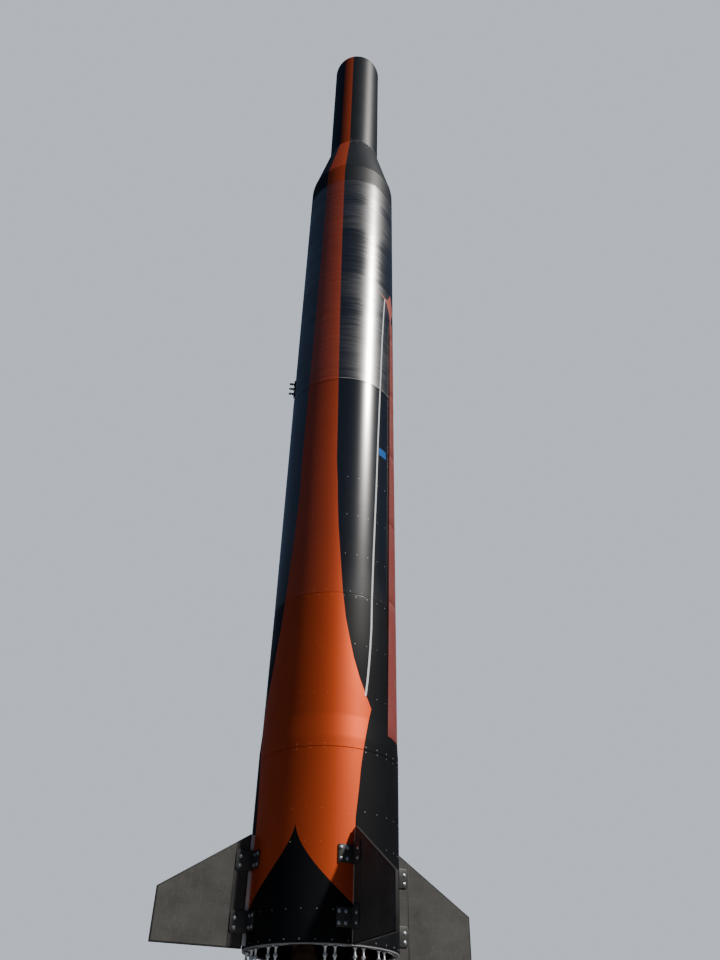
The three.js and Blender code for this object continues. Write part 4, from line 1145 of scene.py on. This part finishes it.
class ROCKET_OT_connector(bpy.types.Operator):
    """Adds the umbilical connector on the left side"""
    bl_idname = "rocket.connector"
    bl_label = "Umbilical connector"

    def execute(self, context):
        body, screws = block(*CONNECTOR_PLATE, CONNECTOR_EDGE), bmesh.new()
        for row in (-1, 0, 1):
            for radius, start, end in CONNECTOR_PRONG:
                prong = drum(radius, start, end, 24, PRONG_EDGE)
                add(body, prong, shift(BODY_RADIUS, 0, CONNECTOR_PITCH * row) @ ALONG_X)
        outside = CONNECTOR_PLATE[1][0]
        for face in body.faces:
            face.material_index = 1 if face.calc_center_median().x > outside + PLATE_SKIN else 0
        places = [shift(outside - PLATE_SKIN, y, z) @ OUTWARD_AXES
                  for y in CONNECTOR_SCREWS["aside"] for z in CONNECTOR_SCREWS["rise"]]
        repeat(screws, drum(*CONNECTOR_SCREW), places)
        for shape in (body, screws):
            move(shape, station(CONNECTOR_AZIMUTH) @ shift(0, 0, CONNECTOR_HEIGHT))
        shown("umbilical_plate", body, finish("bracket"), "airframe", ["umbilical_connector"],
              second=finish("steel"))
        shown("umbilical_screws", screws, finish("screw"), "airframe", smooth_below=50)
        return {"FINISHED"}


def fin_edge_height(radius):
    """Height of a fin's leading edge at a radius."""
    return FIN_ROOT_HEIGHT - FIN_SWEEP * (radius - FIN_ROOT)


def dark_border(shape, width):
    """Gives a fin plate's edges, and a border on its two sides, the second finish, but not at its joint."""
    sides = [face for face in shape.faces if abs(face.normal.y) > 0.99 and face.calc_area() > 0.01]
    for face in shape.faces:
        face.material_index = 0 if face in sides else 1
    border = bmesh.ops.inset_region(shape, faces=sides, thickness=width, use_even_offset=True)["faces"]
    for face in border:
        face.material_index = 0 if abs(face.calc_center_median().x - FIN_JOINT) < width else 1


class ROCKET_OT_fins(bpy.types.Operator):
    """Adds the four fins, each a composite panel with a strip at its root and a rail on the hull"""
    bl_idname = "rocket.fins"
    bl_label = "Fins"

    def execute(self, context):
        settings = context.scene.rocket_fins
        joint = FIN_JOINT - SEAM_GAP
        panel = [(FIN_JOINT, 0), (FIN_TIP, 0), (FIN_TIP, FIN_TIP_HEIGHT),
                 (FIN_JOINT, fin_edge_height(FIN_JOINT))]
        root = [(FIN_ROOT, 0), (joint, 0), (joint, fin_edge_height(joint)), (FIN_ROOT, FIN_ROOT_HEIGHT)]
        foot, crown = SKIRT_RADIUS + SEAM_GAP, FIN_ROOT - SEAM_GAP
        clear = BRACKET_HALF_HEIGHT + RAIL_CLEARANCE
        ends = [RAIL_BOTTOM]
        for height in sorted(BRACKET_HEIGHTS.values()):
            ends += [height - clear, height + clear]
        ends.append(RAIL_TOP)
        for number, azimuth in enumerate(FIN_AZIMUTHS, 1):
            for name, outline, node in (("fin_plate", panel, "fin_panel"), ("fin_strip", root, "fin_root")):
                shape = plate(outline, settings.thickness, settings.edge)
                dark_border(shape, settings.border)
                move(shape, station(azimuth))
                shown(f"{name}_{number}", shape, finish("fin"), "airframe", [f"{node}_{number}"],
                      second=finish("fin_edge"))
            rail = bmesh.new()
            for bottom, top in zip(ends[::2], ends[1::2]):
                outline = [(foot, bottom), (crown, bottom), (crown, top), (foot, top)]
                add(rail, plate(outline, settings.rail, RAIL_EDGE))
            move(rail, station(azimuth))
            shown(f"fin_rail_{number}", rail, finish("rail"), "airframe")
        return {"FINISHED"}


class ROCKET_OT_brackets(bpy.types.Operator):
    """Adds the brackets that hold the fins, with their bolts"""
    bl_idname = "rocket.brackets"
    bl_label = "Fin brackets"

    def execute(self, context):
        half, low, high = math.radians(BRACKET_HALF_ANGLE), -BRACKET_HALF_HEIGHT, BRACKET_HALF_HEIGHT
        profile = [(BRACKET_INNER, low), (BRACKET_OUTER, low), (BRACKET_OUTER, high), (BRACKET_INNER, high)]
        places = [rotation(aside, "Z") @ outward(90, BRACKET_OUTER - BOLT_SINK, rise)
                  for aside in PLATE_BOLTS["degrees"] for rise in PLATE_BOLTS["rise"]]
        places += [shift(EAR_BOLTS["radius"], side * EAR_BOLTS["aside"], rise) @ rotation(-side * 90, "X")
                   for rise in EAR_BOLTS["rise"] for side in (-1, 1)]
        for number, azimuth in enumerate(FIN_AZIMUTHS, 1):
            for level, height in BRACKET_HEIGHTS.items():
                shape, bolts = turned(profile, 14, closed=True, start=-half, sweep=2 * half), bmesh.new()
                round_edges(shape, sharp_edges(shape), BRACKET_EDGE)
                for side in (-1, 1):
                    add(shape, plate(BRACKET_EAR, EAR_THICKNESS, EAR_EDGE), shift(0, side * EAR_ASIDE, 0))
                repeat(bolts, hex_bolt(*BRACKET_BOLT), places)
                for piece in (shape, bolts):
                    move(piece, station(azimuth) @ shift(0, 0, height))
                shown(f"bracket_{number}_{level}", shape, finish("bracket"), "airframe",
                      [f"fin_bracket_{number}_{level}"])
                shown(f"bracket_bolts_{number}_{level}", bolts, finish("steel"), "airframe",
                      smooth_below=40)
        return {"FINISHED"}


def threaded_stud():
    """A stud with its thread, nuts and washer, its outline turned about Z."""
    root, crest, pitch, bottom = THREAD["root"], THREAD["crest"], THREAD["pitch"], THREAD["bottom"]
    outline = [(0, STUD_BOTTOM), (root - THREAD["chamfer"], STUD_BOTTOM)]
    for i in range(THREAD["turns"]):
        outline += [(root, bottom + pitch * i), (crest, bottom + pitch * (i + 0.5))]
    stud = turned([*outline, (root, THREAD["top"]), (root, STUD_TOP), (0, STUD_TOP)], 16)
    for nut in STUD_NUTS:
        add(stud, drum(*nut))
    return stud


class ROCKET_OT_base(bpy.types.Operator):
    """Adds the base ring in four quarters, with its threaded studs and nuts"""
    bl_idname = "rocket.base"
    bl_label = "Base ring"

    def execute(self, context):
        half = math.pi / 4 - RING_GAP_ANGLE
        profile = [(RING_INNER, 0), (RING_OUTER, 0), (RING_OUTER, RING_HEIGHT), (RING_INNER, RING_HEIGHT)]
        places = [rotation(pair + twin * STUD_HALF_ANGLE, "Z") @ shift(STUD_CIRCLE, 0, 0)
                  for pair in STUD_PAIRS for twin in (-1, 1)]
        for number, azimuth in enumerate(FIN_AZIMUTHS, 1):
            quarter, studs = turned(profile, 48, closed=True, start=-half, sweep=2 * half), bmesh.new()
            round_edges(quarter, sharp_edges(quarter), RING_EDGE)
            bmesh.ops.bisect_plane(quarter, geom=[*quarter.verts, *quarter.edges, *quarter.faces],
                                   plane_co=(0, 0, RING_LIP), plane_no=(0, 0, 1))
            for face in quarter.faces:
                middle = face.calc_center_median()
                on_lip = math.hypot(middle.x, middle.y) > LIP_INSIDE and middle.z < RING_LIP
                face.material_index = 1 if on_lip else 0
            repeat(studs, threaded_stud(), places)
            for shape in (quarter, studs):
                move(shape, station(azimuth))
            shown(f"base_quarter_{number}", quarter, finish("dark_steel"), "airframe",
                  [f"base_ring_{number}"], smooth_below=30, second=finish("lip"))
            shown(f"hold_down_studs_{number}", studs, finish("steel"), "airframe",
                  smooth_below=30)
        return {"FINISHED"}


def dome_height(radius):
    """Height of the tank's dished end at a radius."""
    sphere = (DOME_RADIUS ** 2 + DOME_DEPTH ** 2) / (2 * DOME_DEPTH)
    return DOME_APEX + sphere - math.sqrt(sphere ** 2 - radius ** 2)


class ROCKET_OT_bay(bpy.types.Operator):
    """Adds the dished end of the tank and the frame that carries the engines"""
    bl_idname = "rocket.bay"
    bl_label = "Engine bay"

    def execute(self, context):
        radii = [DOME_RADIUS * i / 24 for i in range(25)]
        arc = [(radius, dome_height(radius)) for radius in radii]
        dome = turned([*arc, (DOME_RADIUS, SKIRT_TOP), (0, SKIRT_TOP)], context.scene.rocket_hull.round_steps)
        for ring in DOME_WELDS:
            weld = [(ring + aside, dome_height(ring) + rise) for aside, rise in WELD_OUTLINE]
            add(dome, turned(weld, 96, closed=True))
        shown("tank_end", dome, finish("frame"), "airframe", ["aft_dome"])

        inner, outer, low, high = FRAME_RING_INNER, FRAME_RING_OUTER, FRAME_BOTTOM, FRAME_TOP
        carrier, bolts, places = drum(FRAME_HUB_RADIUS, low, high, 64, FRAME_EDGE), bmesh.new(), []
        add(carrier, drum(*FRAME_BOSS))
        add(carrier, turned([(inner, low), (outer, low), (outer, high), (inner, high)], 120, closed=True))
        round_edges(carrier, sharp_edges(carrier, 80), FRAME_RING_EDGE)
        for azimuth in ENGINE_AZIMUTHS:
            for turn, width in SPOKE_WIDTHS.items():
                spoke = station(azimuth + turn)
                for start, end in SPOKE_LENGTHS:
                    corners = (start, -width / 2, low + SPOKE_INSET), (end, width / 2, high - SPOKE_INSET)
                    add(carrier, block(*corners, FRAME_EDGE), spoke)
                places += [spoke @ shift(x, y, low + BOLT_SINK) @ UPSIDE_DOWN
                           for x in SPOKE_BOLT_RADII for y in (-width / 4, width / 4)]
            for half_gap, thickness, radius, rise, pin in FRAME_EARS:
                for side in (-1, 1):
                    ear = plate(strap_outline(radius, rise), thickness, FRAME_EAR_EDGE)
                    aside = shift(side * (half_gap + thickness / 2), 0, 0)
                    add(carrier, ear, station(azimuth) @ shift(*pin) @ aside @ IN_YZ)
        repeat(bolts, hex_bolt(*FRAME_BOLT), places)
        shown("engine_frame", carrier, finish("frame"), "airframe", ["thrust_frame"])
        shown("engine_frame_bolts", bolts, finish("steel"), "airframe", smooth_below=40)
        return {"FINISHED"}


def engine_head():
    """An engine's head about its pin, with its tongue, its lug, its inlet and its bolts."""
    head = turned(HEAD_OUTLINE, 72)
    radius, drop = TONGUE_RADIUS, TONGUE_DROP
    tongue = [*half_circle(radius, 0), (-radius, -drop), (radius, -drop)]
    add(head, plate(tongue, TONGUE_THICKNESS, TONGUE_EDGE), IN_YZ)
    add(head, drum(*ENGINE_PIN), ALONG_X)
    end = [(LUG_REACH + x, y - LUG_DROP) for x, y in half_circle(LUG_RADIUS, -0.5)]
    lug = [(LUG_ROOT, -LUG_DROP - LUG_RADIUS), *end, (LUG_ROOT, LUG_RADIUS - LUG_DROP)]
    add(head, plate(lug, LUG_THICKNESS, LUG_EDGE), IN_YZ)
    add(head, turned(LUG_BAND, 72, closed=True))
    add(head, drum(*INLET_FLANGE), shift(FEED_LINE_AT[0] - ENGINE_RADIUS, FEED_LINE_AT[1], 0))
    repeat(head, hex_bolt(*ENGINE_BOLT), [place @ UPSIDE_DOWN for place in bolt_circle(**HEAD_BOLTS)])
    return head


class ROCKET_OT_engines(bpy.types.Operator):
    """Adds the three engines: bell, chamber and head"""
    bl_idname = "rocket.engines"
    bl_label = "Engines"

    def execute(self, context):
        outline = [*CHAMBER_OUTSIDE, *smooth_run(BELL_OUTSIDE), *smooth_run(BELL_INSIDE), *CHAMBER_INSIDE]
        for number, azimuth in enumerate(ENGINE_AZIMUTHS, 1):
            place = station(azimuth) @ shift(ENGINE_RADIUS, 0, ENGINE_HEIGHT)
            bell = turned(outline, context.scene.rocket_engines.round_steps)
            for radius, level, half in BELL_HOOPS:
                inner, outer, flat = radius - HOOP_DEPTH, radius + HOOP_RISE, half * HOOP_FLAT
                hoop = [(inner, level - half), (outer, level - flat), (outer, level + flat),
                        (inner, level + half)]
                add(bell, turned(hoop, 72, closed=True))
            move(bell, place)
            shown(f"engine_bell_{number}", bell, finish("nozzle"), f"swing_engine_{number}",
                  [f"engine_{number}"])
            head = engine_head()
            move(head, place)
            shown(f"engine_head_{number}", head, finish("frame"), f"swing_engine_{number}")
        return {"FINISHED"}


def actuator_barrel():
    """An actuator's barrel about its upper pin, with its eye and its ports."""
    barrel = turned(BARREL_OUTLINE, 48)
    eye = strap_outline(BARREL_EYE_RADIUS, BARREL_EYE_HEIGHT)
    add(barrel, plate(eye, BARREL_EYE_THICKNESS, BARREL_EYE_EDGE), UPSIDE_DOWN @ IN_YZ)
    add(barrel, drum(*BARREL_PIN), ALONG_X)
    for level in PORT_LEVELS:
        add(barrel, drum(*BARREL_PORT), shift(0, 0, level) @ rotation(-90, "X"))
    return barrel


def actuator_rod():
    """An actuator's rod below its upper pin, with the fork that holds the engine's lug."""
    rod = drum(*ROD_BAR)
    add(rod, drum(*ROD_NUT))
    add(rod, block(*FORK_BLOCK, FORK_BLOCK_EDGE))
    for side in (-1, 1):
        cheek = plate(strap_outline(FORK_RADIUS, ACTUATOR_LENGTH - FORK_TOP), CHEEK_THICKNESS, CHEEK_EDGE)
        add(rod, cheek, shift(side * CHEEK_ASIDE, 0, -ACTUATOR_LENGTH) @ IN_YZ)
    add(rod, drum(*FORK_PIN), shift(0, 0, -ACTUATOR_LENGTH) @ ALONG_X)
    return rod


class ROCKET_OT_actuators(bpy.types.Operator):
    """Adds the actuators that swing the engines"""
    bl_idname = "rocket.actuators"
    bl_label = "Actuators"

    def execute(self, context):
        for number, azimuth in enumerate(ENGINE_AZIMUTHS, 1):
            pin = shift(ENGINE_RADIUS, ACTUATOR_ACROSS, ENGINE_HEIGHT + ACTUATOR_RISE)
            place = station(azimuth) @ pin @ Matrix.Rotation(ACTUATOR_TILT, 4, "X")
            barrel, rod = actuator_barrel(), actuator_rod()
            move(barrel, place)
            shown(f"strut_barrel_{number}", barrel, finish("frame"), f"barrel_{number}",
                  [f"actuator_barrel_{number}"])
            move(rod, place)
            shown(f"strut_rod_{number}", rod, finish("chrome_rod"), f"rod_{number}",
                  [f"actuator_rod_{number}"])
        return {"FINISHED"}


class ROCKET_OT_feed_lines(bpy.types.Operator):
    """Adds the feed lines, each with a bellows"""
    bl_idname = "rocket.feed_lines"
    bl_label = "Feed lines"

    def execute(self, context):
        ribs = [(radius, RIB_BOTTOM + RIB_PITCH * i + rise)
                for i in range(RIB_COUNT) for radius, rise in BELLOWS_RIB]
        for number, azimuth in enumerate(ENGINE_AZIMUTHS, 1):
            place = station(azimuth) @ shift(*FEED_LINE_AT, 0)
            tube = turned(PIPE_OUTLINE, 48)
            repeat(tube, hex_bolt(*PIPE_BOLT), bolt_circle(**PIPE_BOLTS))
            move(tube, place)
            shown(f"feed_pipe_{number}", tube, finish("steel"), "airframe",
                  [f"feed_line_{number}"])
            flexible = turned([*BELLOWS_FOOT, *ribs, *BELLOWS_HEAD], 48)
            move(flexible, place)
            piece = shown(f"feed_bellows_{number}", flexible, finish("steel"))
            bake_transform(piece)
        return {"FINISHED"}


def unit_vector(azimuth, elevation):
    """A vector of length 1 towards an azimuth and elevation."""
    a, e = math.radians(azimuth), math.radians(elevation)
    return Vector((math.sin(a) * math.cos(e), -math.cos(a) * math.cos(e), math.sin(e)))


def soft_sky(strength):
    """A world whose soft light changes with height; the camera sees a plain backdrop in its place."""
    world = bpy.data.worlds.new("studio")
    world.use_nodes = True
    tree = world.node_tree
    lit = tree.nodes["Background"]
    where = put(tree, "ShaderNodeTexCoord").outputs["Generated"]
    height = put(tree, "ShaderNodeSeparateXYZ", {0: where}).outputs[2]
    feed(tree, lit, {
        "Strength": times(tree, curve_of(tree, height, SKY_BY_HEIGHT, -1, 1, 0, 3), strength),
        "Color": blend_colour(tree, rescale(tree, height, 0.1, 0.6), opaque(SKY_LOW), opaque(SKY_HIGH))})
    seen = put(tree, "ShaderNodeBackground", {"Color": opaque(BACKDROP), "Strength": 1.0})
    ray = put(tree, "ShaderNodeLightPath").outputs["Is Camera Ray"]
    mixed = put(tree, "ShaderNodeMixShader", {0: ray, 1: lit.outputs[0], 2: seen.outputs[0]})
    feed(tree, tree.nodes["World Output"], {"Surface": mixed.outputs[0]})
    return world


def fitted_camera():
    """The camera at the photograph's place and angle."""
    pitch, roll, yaw = (math.radians(a) for a in (CAMERA_PITCH, CAMERA_ROLL, CAMERA_YAW))
    ahead = Vector((math.sin(yaw) * math.cos(pitch), math.cos(yaw) * math.cos(pitch), math.sin(pitch)))
    right = Vector((math.cos(yaw), -math.sin(yaw), 0))
    up = right.cross(ahead)
    right, up = right * math.cos(roll) + up * math.sin(roll), up * math.cos(roll) - right * math.sin(roll)
    data = bpy.data.cameras.new("camera")
    data.sensor_width = SENSOR_SIZE
    data.lens = LENS_PIXELS / PICTURE_HEIGHT * SENSOR_SIZE
    data.clip_end = 200
    camera = placed("camera", data)
    axes = Matrix((right, up, -ahead)).transposed().to_4x4()
    camera.matrix_world = rotation(CAMERA_AZIMUTH, "Z") @ shift(0, -CAMERA_DISTANCE, CAMERA_HEIGHT) @ axes
    return camera


class ROCKET_OT_stage(bpy.types.Operator):
    """Adds the floor, the lights and the camera"""
    bl_idname = "rocket.stage"
    bl_label = "Stage"

    def execute(self, context):
        scene = context.scene
        settings = scene.rocket_stage
        disc = bmesh.new()
        bmesh.ops.create_circle(disc, cap_ends=True, segments=96, radius=FLOOR_RADIUS)
        move(disc, shift(0, 0, settings.floor))
        floor = placed("floor", mesh_of("floor", disc))
        material, tree, shader = new_material("floor", roughness=0.7)
        dark, light = FLOOR_TONES
        tone = blend_colour(tree, stretched_noise(tree, 0.5), opaque(dark), opaque(light))
        feed(tree, shader, {"Base Color": tone})
        floor.data.materials.append(material)

        scene.world = soft_sky(settings.sky)
        for name, strength, spread, colour, azimuth, elevation in LIGHTS:
            sun = bpy.data.lights.new(name, "SUN")
            sun.energy = getattr(settings, strength)
            sun.angle = math.radians(spread)
            sun.color = colour
            light = placed(name, sun)
            light.rotation_mode = "QUATERNION"
            light.rotation_quaternion = unit_vector(azimuth, elevation).to_track_quat("Z", "Y")
        scene.camera = fitted_camera()
        return {"FINISHED"}


OPERATORS = (
    ROCKET_OT_hull, ROCKET_OT_bands, ROCKET_OT_screws, ROCKET_OT_covers, ROCKET_OT_connector, ROCKET_OT_fins,
    ROCKET_OT_brackets, ROCKET_OT_base, ROCKET_OT_bay, ROCKET_OT_engines, ROCKET_OT_actuators,
    ROCKET_OT_feed_lines, ROCKET_OT_stage,
)

SETTINGS = {
    "rocket_hull": HullSettings, "rocket_livery": LiverySettings, "rocket_fins": FinSettings,
    "rocket_engines": EngineSettings, "rocket_stage": StageSettings,
}


class ROCKET_PT_panel(bpy.types.Panel):
    """Lists the rocket's pieces and their settings"""
    bl_idname = "ROCKET_PT_panel"
    bl_label = "Launch rocket"
    bl_space_type = "VIEW_3D"
    bl_region_type = "UI"
    bl_category = "Rocket"

    def draw(self, context):
        for name, group in SETTINGS.items():
            box = self.layout.box()
            for key in group.__annotations__:
                box.prop(getattr(context.scene, name), key)
        for operator in OPERATORS:
            self.layout.operator(operator.bl_idname)


def register():
    for group in SETTINGS.values():
        bpy.utils.register_class(group)
    for operator in (*OPERATORS, ROCKET_PT_panel):
        bpy.utils.register_class(operator)
    for name, group in SETTINGS.items():
        setattr(bpy.types.Scene, name, PointerProperty(type=group))


def unregister():
    for name in SETTINGS:
        delattr(bpy.types.Scene, name)
    for operator in reversed((*OPERATORS, ROCKET_PT_panel)):
        bpy.utils.unregister_class(operator)
    for group in SETTINGS.values():
        bpy.utils.unregister_class(group)


def main():
    register()
    for operator in OPERATORS:
        group, name = operator.bl_idname.split(".")
        getattr(getattr(bpy.ops, group), name)()


if __name__ == "__main__":
    main()
